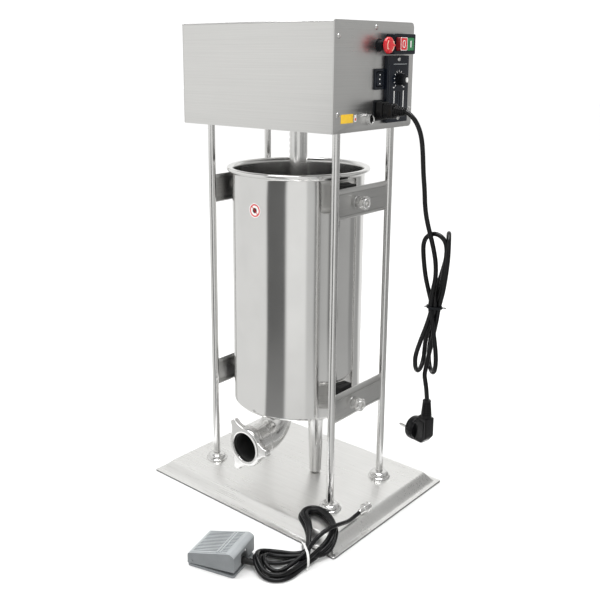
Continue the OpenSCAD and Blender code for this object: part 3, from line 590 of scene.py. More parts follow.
def mains_lead():
    path = mains_path()
    connector = power_connector()
    plug = power_plug()
    axes = HANK_PLACE.to_3x3()
    tie = twist_tie("mains_tie", HANK_PLACE @ Vector((0.3, 1, HANK_TIE)), axes @ Vector((1, 0, -0.08)),
                    axes @ Vector((0, 1, 0)), 11.4, 9.0, BLACK, "power_cord_tie",
                    [(-11, -4, -5.5, -1, 1.5), (11, -4, 6, -1, 0)])
    cord = cord_piece("mains_cord", path, MAINS_D, "frame", ["power_cord", "power_cord_hank"])


mains_lead()

PEDAL_D = 6.5
PEDAL_PLACE = at(50, -313, 0) @ turn("Z", 16)
PEDAL_ROUTE_A = [(118, -257, 11), (126, -252, 10), (134, -246, 10)]
PEDAL_ROUTE_B = [
    (189.5, -118, 36), (189, -107, 32), (187.5, -96, 29), (186, -85, 27.5), (185.3, -75, 27.4),
    (185, -66, 28.2), (185, -58, 28.6)]
TIE_CENTRE = Vector((179, -191, 0))
TIE_ACROSS = Vector((0.80, -0.60, 0))
# Plan of one turn: round the front loop on the floor, and round the rear loop on the tray.
FRONT_LOOP = [(136, -206), (122, -219), (120, -236), (129, -251), (147, -261), (166, -263), (181, -253),
              (188, -235)]
REAR_LOOP = [(195, -160), (196, -144), (188, -126), (175, -112), (160, -101), (144, -94), (128, -92),
             (115, -100), (110, -115), (116, -130), (132, -140), (151, -151)]
FRONT_MIDDLE = Vector((157, -230, 0))
REAR_MIDDLE = Vector((140, -118, 0))
# Each turn: insets from the outermost turn at the front and rear, layers there, places in the tie.
TURNS = [(0.0, 0.0, 0.0, 0.0, (10.5, 0), (-11.5, 0)), (8.0, 6.5, 0.1, 0.0, (3.8, 0), (-4.6, 0)),
         (3.5, 3.2, 1.0, 0.92, (9.5, 1), (-9.8, 1)), (14.0, 9.7, 0.8, 0.92, (0, 2), (-3.2, 1))]
LAYER = 6.2


def smooth_step(value, start, end):
    t = min(max((value - start) / (end - start), 0.0), 1.0)
    return t * t * (3 - 2 * t)


def resting_height(x, y):
    """Height of a cable's centre where it lies on the floor or on the tray."""
    on_tray = smooth_step(y, -170, -138) * (1 - 0.45 * smooth_step(x, 184, 203))
    return PEDAL_D / 2 + 0.2 + 20.4 * on_tray


def pedal_path():
    def tie_point(place, shift=(0, 0)):
        across, layer = place
        spot = TIE_CENTRE + TIE_ACROSS * across + Vector((*shift, 0))
        return Vector((spot.x, spot.y, resting_height(spot.x, spot.y) + LAYER * layer + 1.5))

    def loop_points(plan, middle, inset, layer):
        points = []
        for x, y in plan:
            inward = middle - Vector((x, y, 0))
            spot = Vector((x, y, 0)) + inward.normalized() * inset
            hump = 12.5 * math.exp(-((spot.x - 128) ** 2 + (spot.y + 248) ** 2) / 420.0)
            points.append(Vector((spot.x, spot.y, resting_height(spot.x, spot.y) + LAYER * layer + hump)))
        return points

    lead_in = PEDAL_ROUTE_A + [(145, -236, 7), (157, -222, 5)]
    points = [Vector(p) for p in lead_in] + [tie_point((3.0, 1))]
    for front_inset, rear_inset, front_layer, rear_layer, right, left in TURNS:
        points += loop_points(REAR_LOOP, REAR_MIDDLE, rear_inset, rear_layer)
        points += [tie_point(left, (-5, 15)), tie_point(left), tie_point(left, (-10, -13))]
        points += loop_points(FRONT_LOOP, FRONT_MIDDLE, front_inset, front_layer)
        points.append(tie_point(right))
    points += [Vector(p) for p in ((181, -171, 30), (185, -154, 38), (189, -138, 40), (189.5, -122, 37))]
    points += [Vector(p) for p in PEDAL_ROUTE_B[2:]]
    return relax(smooth_path(points), 30)


def pedal_connector():
    """Round screw-on connector: cable grip, knurled coupling ring and front shell, pointing to +y."""
    place = at(185, -58, 28.6) @ turn("X", -90)
    shape = Shape(place)
    shape.lathe([(0, -5), (3.8, -5), (4.4, -4), (4.8, 0), (5, 6), (6.2, 7), (6.6, 8), (0, 8)], 40)
    ring = []
    for k in range(24):
        ring += arc((0, 0), 8.5, 15 * k, 15 * k + 9, 2) + arc((0, 0), 7.9, 15 * k + 11, 15 * k + 13, 1)
    shape.prism(ring, 8.5, 17, bevel=0.3)
    shape.lathe([(0, 7.6), (7.6, 7.6), (7.8, 8.6), (7.8, 17), (7.2, 18), (7.2, 21.4), (6.8, 22), (6.2, 22),
                 (6.2, 18), (0, 18)], 40)
    for k in range(3):
        shape.lathe(arc((7.2, 18.8 + 1.1 * k), 0.35, -90, 90, 4), 40)
    return shape.piece("cable_connector", "frame", STEEL_ROD, ["pedal_connector"])


def pedal_cable():
    path = pedal_path()
    connector = pedal_connector()
    tie = twist_tie("cable_tie", TIE_CENTRE + Vector((0, 0, 13.5)), TIE_ACROSS, (0, 0, 1), 18.0, 12.4, TIE,
                    "pedal_cord_tie", [(16, -10, 6, -1.5, 2.0), (-10, 12, -5, 1.5, 2)])
    cord = cord_piece("pedal_cable", path, PEDAL_D, "frame", ["pedal_cord", "pedal_cord_hank"])


pedal_cable()


# ---------------------------------------------------------------- base, columns and brackets

BASE_LOW, BASE_HIGH = box_mm("base_plate")
BOX_LOW = Vector((-161.5, -105, 636))
BOX_HIGH = Vector((151.5, 100, 796))
PANEL = BOX_HIGH.x
# Centres of what sits on the side panel, in y and z.
BUTTON_BLOCK = (53, 763)
STOP_BUTTON = (38, 763)
START_BUTTON = (68, 763)
SPEED_PLATE = (49.5, 695.5)
SPEED_DIAL = (51.5, 710)
ROCKER = (5.8, 711.3)
COLUMNS = [(sx * 132, sy * 71) for sx in (-1, 1) for sy in (-1, 1)]


def ring_stack(shape, rings, material=None, closed=False, caps=True):
    """Skin over rings with the same number of points each."""
    part = bmesh.new()
    rows = [[part.verts.new(p) for p in ring] for ring in rings]
    pairs = list(zip(rows, rows[1:])) + ([(rows[-1], rows[0])] if closed else [])
    count = len(rows[0])
    for first, second in pairs:
        for k in range(count):
            part.faces.new((first[k], first[(k + 1) % count], second[(k + 1) % count], second[k]))
    if caps and not closed:
        part.faces.new(rows[0][::-1])
        part.faces.new(rows[-1])
    bmesh.ops.recalc_face_normals(part, faces=part.faces[:])
    return shape._take(part, None, material)


def tray():
    """Pressed tray: rolled lip, ogee skirt and flat top, two millimetres thick and open below."""
    width = BASE_HIGH.x - BASE_LOW.x
    depth = BASE_HIGH.y - BASE_LOW.y
    top = BASE_HIGH.z
    lip, run, lip_height = 6.0, 18.0, 3.0
    profile = [(0.5, 0.0), (0.0, 0.6), (0.0, 2.0), (0.35, 2.7), (1.0, 3.0), (lip - 1, 3.0)]
    for i in range(11):
        t = i / 10
        profile.append((lip + run * t, lip_height + (top - lip_height) * (0.5 - 0.5 * math.cos(math.pi * t))))
    under = [(inset + 2.0, max(z - 2.0, 0.0)) for inset, z in profile[4:]]
    rings = []
    for inset, z in profile + [(inset, z) for inset, z in reversed(under)] + [(2.5, 0.0)]:
        radius = 3.2 + inset * 0.10
        rings.append([(x, y, z) for x, y in round_rectangle(width - 2 * inset, depth - 2 * inset, radius, 5)])
    top_index = len(profile)
    shape = Shape()
    # The lip's outer face and the underside are painted dark as shade; the shadow line under the tray's edge
    # is painted, not cast.
    ring_stack(shape, rings[:4], STEEL_PAINTED_SHADE, caps=False)
    ring_stack(shape, rings[3:top_index], STEEL_TRAY, caps=False)
    ring_stack(shape, rings[top_index:] + [rings[0]], STEEL_PAINTED_SHADE, caps=False)
    for ring, flip in ((rings[top_index - 1], False), (rings[top_index], True)):
        part = bmesh.new()
        corners = [part.verts.new(p) for p in ring]
        part.faces.new(corners[::-1] if flip else corners)
        shape._take(part, None, STEEL_PAINTED_SHADE if flip else STEEL_TRAY)
    return shape.piece("tray", "frame", stands_for=["base_plate"], sharp=50)


def columns():
    shape = Shape()
    for x, y in COLUMNS:
        shape.rod((x, y, 7), (x, y, 650), 6.0, 48, edge=1.0)
    shape.piece("column_rods", "frame", STEEL_ROD, ["columns"])
    flanges = Shape()
    dome = [(6.1, 20), (19, 20), (19.2, 21.2), (18.6, 22.0), (17.4, 22.6)]
    dome += [(17.0 - 9.5 * (1 - math.cos(math.radians(a))), 22.8 + 7.6 * math.sin(math.radians(a)))
             for a in range(0, 91, 10)]
    dome += [(6.4, 30.5), (6.1, 30.0)]
    for x, y in COLUMNS:
        flanges.lathe(dome, 64, at(x, y, 0), closed=True)
    flanges.piece("column_bases", "frame", STEEL_ROD, ["column_flanges"])


def hexagon(radius):
    return [spoke(radius, 60 * k) for k in range(6)]


def bracket_place(side, z):
    return at(0, 0, z) @ Matrix.Diagonal((side, 1, 1, 1))


def brackets():
    """Channel brackets with bevelled lips, each with a welded nut."""
    shape = Shape()
    outline = [(134, 16), (133.1, 16.4), (133.1, 17.2), (134, 17.7), (133.6, 19), (130.6, 23.4), (129.6, 24),
               (128, 24), (128, 22.2), (129.2, 22), (131.6, 17.6), (132, 15.4)]
    outline += [(x, -z) for x, z in reversed(outline)]
    for side in (-1, 1):
        for z in (189, 524):
            place = bracket_place(side, z)
            shape.prism(outline, -65.3, 65.3, bevel=0.35, place=place @ ALONG_Y)
            nut = place @ at(0, -15, 0) @ ALONG_X
            shape.prism(hexagon(9.8), 133.9, 142, bevel=0.7, place=nut)
            # Dark strip at the bracket's rear end: painted shadow between the bracket and the column.
            shape.block((132.2, 60.6, -18.5), (134.15, 65.0, 18.5), 0.3, place=place, material=STEEL_PAINTED_SHADE)
            shape.lathe([(9.6, 134), (10.6, 134), (10.3, 134.8), (9.3, 135.3), (8.8, 135)], 32, nut,
                        closed=True)
            for y in (-64.2, 64.2):
                for k in range(7):
                    weld = place @ at(132.2, y, -18 + 6 * k)
                    shape.lathe([(0, -2.6), (1.5, -1.7), (2.1, 0), (1.5, 1.7), (0, 2.6)], 10, weld)
    shape.face_out()
    shape.piece("channel_brackets", "frame", STEEL_BRACKET, ["clamp_brackets"], sharp=32)


def clamp_screws():
    for side, side_name in ((1, "right"), (-1, "left")):
        for z, level in ((524, "upper"), (189, "lower")):
            shape = Shape(bracket_place(side, z) @ at(0, -15, 0) @ ALONG_X)
            shape.rod((0, 0, 116.3), (0, 0, 144), 4.4, 32)
            for k in range(14):
                shape.lathe([(4.2, 121 + 1.5 * k), (5.0, 121.7 + 1.5 * k), (4.2, 122.4 + 1.5 * k)], 32)
            shape.rod((0, 0, 142.2), (0, 0, 144), 7, 48, edge=0.3)
            knurl = []
            for k in range(24):
                knurl += arc((0, 0), 10.5, 15 * k, 15 * k + 8, 2) + [spoke(9.7, 15 * k + 11.5)]
            shape.prism(knurl, 143.5, 151.5, bevel=0.5, holes=[hexagon(4.6)])
            shape.lathe([(0, 147.7), (4.7, 147.7)], 24)
            shape.lathe(arc((7.4, 151.3), 1.2, 0, 180, 8), 48)
            name = f"clamp_screw_{level}_{side_name}"
            body = f"screw_{level}_{side_name}"
            shape.face_out()
            shape.piece(f"knob_{level}_{side_name}", body, STEEL_KNOB, [name])
            pad = Shape(bracket_place(side, z))
            face = arc((0, 0), 110.35, -16.3, 0.4, 14)
            outline = [(x, y) for x, y in face] + [(116, 1), (119, 0), (119, -30), (116, -31)]
            pad.prism(outline, -24.5, 25, bevel=0.8)
            for k in range(5):
                pad.block((115.6, -30 + 6.8 * k, -23.6), (119.15, -26.6 + 6.8 * k, -19), 0.3)
            pad.face_out()
            pad.piece(f"pad_block_{level}_{side_name}", f"pad_{level}_{side_name}", RUBBER,
                      [f"clamp_pad_{level}_{side_name}"])


tray()
columns()
brackets()
clamp_screws()


# ---------------------------------------------------------------- cylinder and outlet

CYLINDER_FLOOR = 157.5
CYLINDER_RIM = 568.0
OUTLET_Y = -50.0


def cylinder():
    profile = [(0, CYLINDER_FLOOR)] + arc((104, CYLINDER_FLOOR + 6), 6, -90, 0, 8)
    profile += [(110, z) for z in (172, 260, 360, 460, 530)]
    rim = [(110, 556.5), (110.4, 558.2), (112, 559.8), (115, 560.7), (117.6, 561.7), (118.9, 563.4),
           (119.1, 565.2), (118.2, 566.9), (116.6, 567.7), (113, 567.8), (110.6, 567.0), (108.9, 565.2),
           (108.1, 562.8), (108, 560)]
    profile += rim
    profile += [(108, z) for z in (530, 460, 360, 260, 172)]
    profile += arc((104, CYLINDER_FLOOR + 6), 4, 0, -90, 6) + [(0, CYLINDER_FLOOR + 2)]
    shape = Shape()
    shape.lathe(profile, 160, material=STEEL_CYLINDER)
    drill = Shape()
    drill.lathe([(0, 150), (23, 150), (23, 170), (0, 170)], 64, at(0, OUTLET_Y, 0))
    shape.cut(drill)
    shape.materials = [STEEL_CYLINDER, STEEL_BORE]
    for face in shape.bm.faces:
        middle = face.calc_center_median()
        if math.hypot(middle.x, middle.y) < 108.7 and CYLINDER_FLOOR + 1 < middle.z < 566:
            face.material_index = 1
    return shape.piece("meat_cylinder", "frame", stands_for=["cylinder"], sharp=40)


def foot():
    """Tapered foot that holds up the cylinder, flared where it is welded on."""
    leg = Shape(at(37, 9, 0))
    leg.lathe([(0, 20)] + arc((4.9, 25.6), 5.6, -90, -6, 8) + [(10.5, 28), (15.4, 150), (15.6, 154),
                                                               (16.6, 156.4), (17.6, 157.6), (0, 157.8)], 64)
    leg.piece("cylinder_foot", "frame", STEEL_CAST, ["cylinder_leg"])


def pipe(shape, path, outer, inner, sides=64):
    """Hollow pipe along points in the plane of y and z, bright outside and painted dark inside as shade."""
    path = [Vector(p) for p in path]
    across = Vector((1, 0, 0))
    for radius, material in ((outer, STEEL_CAST), (inner, STEEL_DEEP_SHADE)):
        rings = []
        for i, point in enumerate(path):
            along = (path[min(i + 1, len(path) - 1)] - path[max(i - 1, 0)]).normalized()
            other = along.cross(across)
            rings.append([point + radius * (math.cos(2 * math.pi * k / sides) * across
                                            + math.sin(2 * math.pi * k / sides) * other)
                          for k in range(sides)])
        ring_stack(shape, rings, material, caps=False)


def outlet():
    """Welded elbow with its threaded end and seal, and the cast ring nut with three lugs."""
    elbow = Shape()
    path = [(0, OUTLET_Y, z) for z in (157.4, 152, 147)]
    path += [(0, y, z) for y, z in arc((-88, 146), 38, 0, -90, 24)]
    path += [(0, -94, 108), (0, -116, 108), (0, -119, 108)]
    pipe(elbow, path, 26.0, 23.0)
    collar = at(0, OUTLET_Y, 0)
    elbow.lathe([(25.6, 157.6), (30.2, 157.6), (30.6, 156.4), (29.6, 155.0), (27.6, 153.6), (26.4, 151.6),
                 (25.6, 151)], 64, collar, closed=True, material=STEEL_CAST)
    face_on = at(0, 0, 108) @ turn("X", 90)
    # The threaded end's core is painted dark as shade between the threads and inside the bore.
    elbow.lathe([(25.5, 115), (27.6, 116), (28, 118), (28, 130.4), (27.4, 131), (23, 131), (23, 117)], 64,
                face_on, closed=True, material=STEEL_DEEP_SHADE)
    for k in range(4):
        elbow.lathe([(27.8, 119.4 + 2.9 * k), (28.9, 120.6 + 2.9 * k), (28.9, 121.2 + 2.9 * k),
                     (27.8, 122.2 + 2.9 * k)], 64, face_on, closed=True, material=STEEL_CAST)
    elbow.lathe(arc((25.9, 92), 1.1, -90, 90, 6), 64, face_on, material=STEEL_CAST)
    elbow.piece("outlet_pipe", "frame", stands_for=["outlet_elbow"])
    seal = Shape(face_on)
    seal.lathe([(24.2, 131.05), (28.0, 131.05), (28.4, 131.5), (28.4, 133), (28, 133.4), (25.6, 133.6),
                (24.4, 133), (24, 132.2)], 64, closed=True)
    seal.piece("outlet_seal", "frame", RUBBER)

    nut = Shape(at(0, -136, 108) @ turn("X", -90))
    nut.lathe([(25, 0.8), (25.8, 0), (30.6, 0), (32.4, 0.7), (33.5, 2.6), (33.5, 15.5), (32.9, 18.4),
               (31.4, 20), (29.4, 20), (28.9, 19.4), (28.9, 5), (25, 4.2)], 96, closed=True)
    for angle in (-5, 115, 235):
        lug = [(27.8, -15.5), (33, -13.2), (38, -9.2), (42, -7.0), (47, -6.0), (49.2, -4.8), (50, -3),
               (50, 3), (49.2, 4.8), (47, 6.0), (42, 7.0), (38, 9.2), (33, 13.2), (27.8, 15.5)]
        hull = [(26.5, 0)]
        nut.prism(lug + hull, 0.4, 11, bevel=2.4, segments=4, place=turn("Z", angle))
    nut.piece("ring_nut_cast", "ring_nut", STEEL_CAST, ["outlet_ring_nut"], sharp=50)


cylinder()
foot()
outlet()


# ---------------------------------------------------------------- piston and rack

def rack():
    """Round bar with teeth milled in its left side, and the shouldered end that carries the piston."""
    bar = Shape()
    bar.lathe([(0, 164), (9, 164), (9.9, 165), (9.9, 202.4), (14.2, 202.6), (15, 203.4), (15, 721), (14, 722),
               (0, 722)], 64)
    pitch = 3 * math.pi
    pressure = math.tan(math.radians(25))
    half = (pitch / 2 - 0.3) / 2
    teeth = []
    for k in range(-45, 2):
        middle = 700 + (k + 0.5) * pitch
        teeth += [(-12.9, middle - pitch + half - 2.4 * pressure),
                  (-7.2, middle - pitch + half + 3.3 * pressure), (-7.2, middle - half - 3.3 * pressure),
                  (-12.9, middle - half + 2.4 * pressure)]
    outline = [(-40, teeth[0][1])] + teeth + [(-40, teeth[-1][1])]
    cutter = Shape()
    cutter.prism(outline, -20, 20, place=ALONG_Y)
    bar.cut(cutter)
    bar.piece("rack_rod", "piston", STEEL_ROD, ["rack_bar"], sharp=30)


def piston():
    plate = Shape(at(0, 0, 175))
    plate.lathe([(10.1, 0), (103.5, 0), (104.6, 0.5), (105.5, 2), (105.5, 4), (101, 4), (101, 12),
                 (105.5, 12), (105.5, 14), (104.6, 15.6), (103.2, 16), (27, 16), (24.6, 17.2), (22.6, 26),
                 (21.6, 28), (10.1, 28)], 128, closed=True)
    hole = Shape()
    hole.lathe([(0, 170), (6.2, 170), (6.2, 200), (0, 200)], 40, at(0, 60, 0))
    plate.cut(hole)
    plate.piece("piston_disc", "piston", STEEL_BORE, ["piston_plate"], sharp=30)
    seal = Shape(at(0, 0, 175))
    seal.lathe([(101.05, 4.1), (106.4, 4.1), (107.2, 5), (107.6, 6.4), (107.6, 9.6), (107.2, 11),
                (106.4, 11.9), (101.05, 11.9)], 128, closed=True)
    seal.piece("piston_ring", "piston", SILICONE, ["piston_seal"])


rack()
piston()


# ---------------------------------------------------------------- housing

def rounded(outline, radii, steps=5):
    """Outline with its corners rounded; radii gives one radius per corner."""
    points = [Vector(p) for p in outline]
    out = []
    for i, point in enumerate(points):
        before = (points[i - 1] - point)
        after = (points[(i + 1) % len(points)] - point)
        radius = radii[i] if isinstance(radii, (list, tuple)) else radii
        if radius <= 0:
            out.append(tuple(point))
            continue
        half = before.angle(after) / 2
        reach = min(radius / math.tan(half), before.length * 0.48, after.length * 0.48)
        first = point + before.normalized() * reach
        last = point + after.normalized() * reach
        for k in range(steps + 1):
            t = k / steps
            out.append(tuple(first * (1 - t) ** 2 + point * 2 * t * (1 - t) + last * t ** 2))
    return out


def window(y, z, width, height, radius=1.0):
    return [(y + a, z + b) for a, b in round_rectangle(width, height, radius, 3)]


def circle(y, z, radius, steps=24):
    return arc((y, z), radius, 0, 360 - 360 / steps, steps - 1)


def pan_head(place, material=None):
    """Cross-recessed pan head, 3.6 mm in radius, standing along +z."""
    head = Shape(place)
    profile = [(0, 0), (3.6, 0), (3.6, 0.6), (3.35, 1.25), (2.7, 1.8), (1.7, 2.12), (0, 2.2)]
    head.lathe(profile, 32, material=material)
    cross = Shape(place)
    cross.block((-1.7, -0.42, 0.9), (1.7, 0.42, 3.0), 0.0)
    head.cut(cross)
    cross = Shape(place)
    cross.block((-0.42, -1.7, 0.9), (0.42, 1.7, 3.0), 0.0)
    head.cut(cross)
    return head


def add_shape(target, other):
    mesh = bpy.data.meshes.new("added")
    other.bm.to_mesh(mesh)
    other.bm.free()
    target.bm.from_mesh(mesh)
    bpy.data.meshes.remove(mesh)


def housing():
    inner_x = (BOX_LOW.x + 2, BOX_HIGH.x - 2)
    y0, y1, z0, z1 = BOX_LOW.y, BOX_HIGH.y, BOX_LOW.z, BOX_HIGH.z

    def cover_line(inset):
        front, rear = 4 - inset, 9 - inset
        return ([(y0 + inset, z0)] + arc((y0 + 4, z1 - 4), front, 180, 90, 6)
                + arc((y1 - 9, z1 - 9), rear, 90, 0, 10) + [(y1 - inset, z0)])

    cover = Shape()
    cover.slab(cover_line(0) + cover_line(1.5)[::-1], inner_x[0], inner_x[1], bevel=0.25)
    drill = Shape()
    drill.lathe([(0, 780), (20, 780), (20, 810), (0, 810)], 64)
    cover.cut(drill)
    cover.piece("cover_sheet", "frame", STEEL_COVER, ["housing_cover"], sharp=28)

    outline = rounded([(y0, z0), (y0, z1), (y1, z1), (y1, z0)], [2, 2, 9, 9], 8)
    holes = [circle(4, 761, 7.9), circle(-19, 653, 6.9), window(*BUTTON_BLOCK, 50, 22),
             window(*SPEED_PLATE, 46, 78), window(*ROCKER, 21.6, 26.6), window(5, 665, 20.6, 24.6)]
    right = Shape()
    right.slab(outline, PANEL - 2, PANEL, bevel=0.4, holes=holes)
    right.piece("control_panel", "frame", STEEL_PANEL, ["side_panel_right"], sharp=28)
    left = Shape()
    left.slab(outline, BOX_LOW.x, BOX_LOW.x + 2, bevel=0.4)
    left.piece("left_panel", "frame", STEEL_PANEL, ["side_panel_left"], sharp=28)

    screws = Shape()
    turns = (12, 40, 71, 25, 58)
    for angle, (y, z) in zip(turns, ((-95, 773), (-95, 663), (94, 663), (94, 773), (-3.5, 787))):
        for x, way in ((PANEL, 90), (BOX_LOW.x, -90)):
            head = pan_head(at(x, y, z) @ turn("Y", way) @ turn("Z", angle))
            add_shape(screws, head)
            screws.rod((x, y, z), (x - math.copysign(6, x), y, z), 1.7, 16)
    screws.piece("panel_screw_heads", "frame", STEEL_ROD, ["panel_screws"], sharp=30)


def blank_labels():
    """Plain stickers: a yellow strip and a small tag on the panel, and a round one on the cylinder."""
    panel = Shape()
    panel.block((PANEL, -87, 650), (PANEL + 0.25, -57, 663), 0.08, material=YELLOW)
    panel.block((PANEL, -54, 651), (PANEL + 0.25, -49, 661), 0.08, material=WHITE)
    panel.block((PANEL + 0.1, -53, 652.5), (PANEL + 0.32, -50, 656.5), 0.05, material=RED)
    panel.piece("panel_labels", "frame")

    sticker = Shape()
    centre_angle, centre_z = math.radians(-88.5), 507.5

    def wrap(u, v, lift):
        a = centre_angle + u / 110.0
        return ((110.05 + lift) * math.cos(a), (110.05 + lift) * math.sin(a), centre_z + v)

    def patch(inner, outer, lift, material, bar=None):
        part = bmesh.new()
        steps = 48
        rows = []
        for radius in (inner, (inner + outer) / 2, outer):
            rows.append([part.verts.new(wrap(radius * math.cos(2 * math.pi * k / steps),
                                             radius * math.sin(2 * math.pi * k / steps), lift))
                         for k in range(steps)])
        for first, second in zip(rows, rows[1:]):
            for k in range(steps):
                part.faces.new((first[k], first[(k + 1) % steps], second[(k + 1) % steps], second[k]))
        if inner < 1:
            part.faces.new(rows[0])
        sticker._take(part, None, material)

    patch(0.5, 11.6, 0.12, WHITE)
    patch(8.2, 10.2, 0.20, RED)
    part = bmesh.new()
    for side in (-1, 1):
        for k in range(9):
            t = -8.4 + 16.8 * k / 8
            part.verts.new(wrap((t + side * 0.75) * 0.7071, (-t + side * 0.75) * 0.7071, 0.24))
    part.verts.ensure_lookup_table()
    for k in range(8):
        part.faces.new((part.verts[k], part.verts[k + 1], part.verts[k + 10], part.verts[k + 9]))
    sticker._take(part, None, RED)
    patch(0.4, 4.2, 0.16, BLACK)
    sticker.piece("round_sticker", "frame")


housing()
blank_labels()


# ---------------------------------------------------------------- controls

def emergency_stop():
    axis = at(PANEL, 4, 761) @ turn("Y", 90)
    collar = Shape(axis)
    collar.lathe([(4.85, -20), (7.7, -20), (7.7, 0), (9.3, 0), (9.5, 0.3), (9.5, 1.6), (9.1, 2), (7.4, 2.1),
                  (7.2, 2.5), (7.2, 9), (6.8, 9.5), (4.85, 9.5)], 48, closed=True)
    for k in range(3):
        collar.lathe(arc((7.2, 4 + 1.8 * k), 0.4, -90, 90, 4), 48)
    collar.piece("stop_collar", "frame", BLACK, ["estop_collar"])

    head = Shape(axis)
    head.lathe([(3.1, 15), (10.4, 15), (11.6, 15.6), (12, 16.6), (12, 18.4), (11.6, 19.8), (10.6, 20.9),
                (8.6, 21.7), (5.5, 22.2), (2.5, 22.45), (0, 22.5), (0, 18.6), (3.1, 18.6)], 64, material=RED)
    for k in range(3):
        grip = turn("Z", 120 * k + 90)
        head.prism(rounded([(3, -1.5), (11.6, -1.2), (11.6, 1.2), (3, 1.5)], 0.8), 19.6, 22.5, bevel=0.5,
                   place=grip, material=RED)
    for start in (20, 200):
        outer = arc((0, 0), 9.4, start, start + 100, 14)
        inner = arc((0, 0), 7.7, start + 100, start, 14)
        head.prism(outer + inner, 20.6, 21.85, bevel=0.1, material=PALE_RED)
        barb = [spoke(10.6, start + 98), spoke(8.2, start + 126), spoke(6.4, start + 98)]
        head.prism(barb, 20.6, 21.9, bevel=0.1, material=PALE_RED)
    head.face_out()
    head.piece("stop_mushroom", "stop_head", stands_for=["estop_head"])


def start_stop_switch():
    block = Shape()
    front = PANEL + 14.5
    outline = window(*BUTTON_BLOCK, 58, 30, 2.0)
    pockets = [window(*STOP_BUTTON, 19.2, 20.2, 1.2), window(*START_BUTTON, 19.2, 20.2, 1.2)]
    block.slab(outline, PANEL, PANEL + 6.2, bevel=0.3)
    block.slab(outline, PANEL + 5.8, front, bevel=0.9, segments=3, holes=pockets)
    block.slab(window(*BUTTON_BLOCK, 49, 21), PANEL - 24, PANEL + 0.5, bevel=0.6)
    for y in (38, 68):
        ring = window(y, BUTTON_BLOCK[1], 21.6, 22.6, 1.8)
        block.slab(ring, front - 0.5, front + 0.35, bevel=0.2,
                   holes=[window(y, BUTTON_BLOCK[1], 19.4, 20.4, 1.2)])
    block.face_out()
    block.piece("switch_block", "frame", GLOSS_BLACK, ["switch_housing"])

    stop = Shape()
    stop.slab(window(*STOP_BUTTON, 18.2, 19.2, 1.6), PANEL + 9.5, PANEL + 21.6, bevel=0.7, segments=3,
               material=DARK_RED)
    stop.slab(window(*STOP_BUTTON, 18.2, 19.2, 1.6), PANEL + 21, PANEL + 22.4, bevel=0.4, material=RED)
    stop.slab(window(*STOP_BUTTON, 18.0, 19.0, 1.6), PANEL + 22, PANEL + 22.75, bevel=0.15, material=WHITE,
               holes=[window(*STOP_BUTTON, 16.4, 17.4, 1.2)])
    stop.slab(window(*STOP_BUTTON, 7.4, 11.4, 3.6), PANEL + 22, PANEL + 22.75, bevel=0.15, material=WHITE,
               holes=[window(*STOP_BUTTON, 5.2, 9.2, 2.5)])
    stop.piece("stop_cap", "stop_key", stands_for=["stop_button"])

    start = Shape()
    start.slab(window(*START_BUTTON, 18.2, 19.2, 1.6), PANEL + 9.5, PANEL + 15.2, bevel=0.7, segments=3,
                material=GREEN)
    start.slab(window(*START_BUTTON, 3.2, 10.0, 0.5), PANEL + 14.8, PANEL + 15.45, bevel=0.12,
                material=WHITE)
    start.piece("start_cap", "start_key", stands_for=["start_button"])


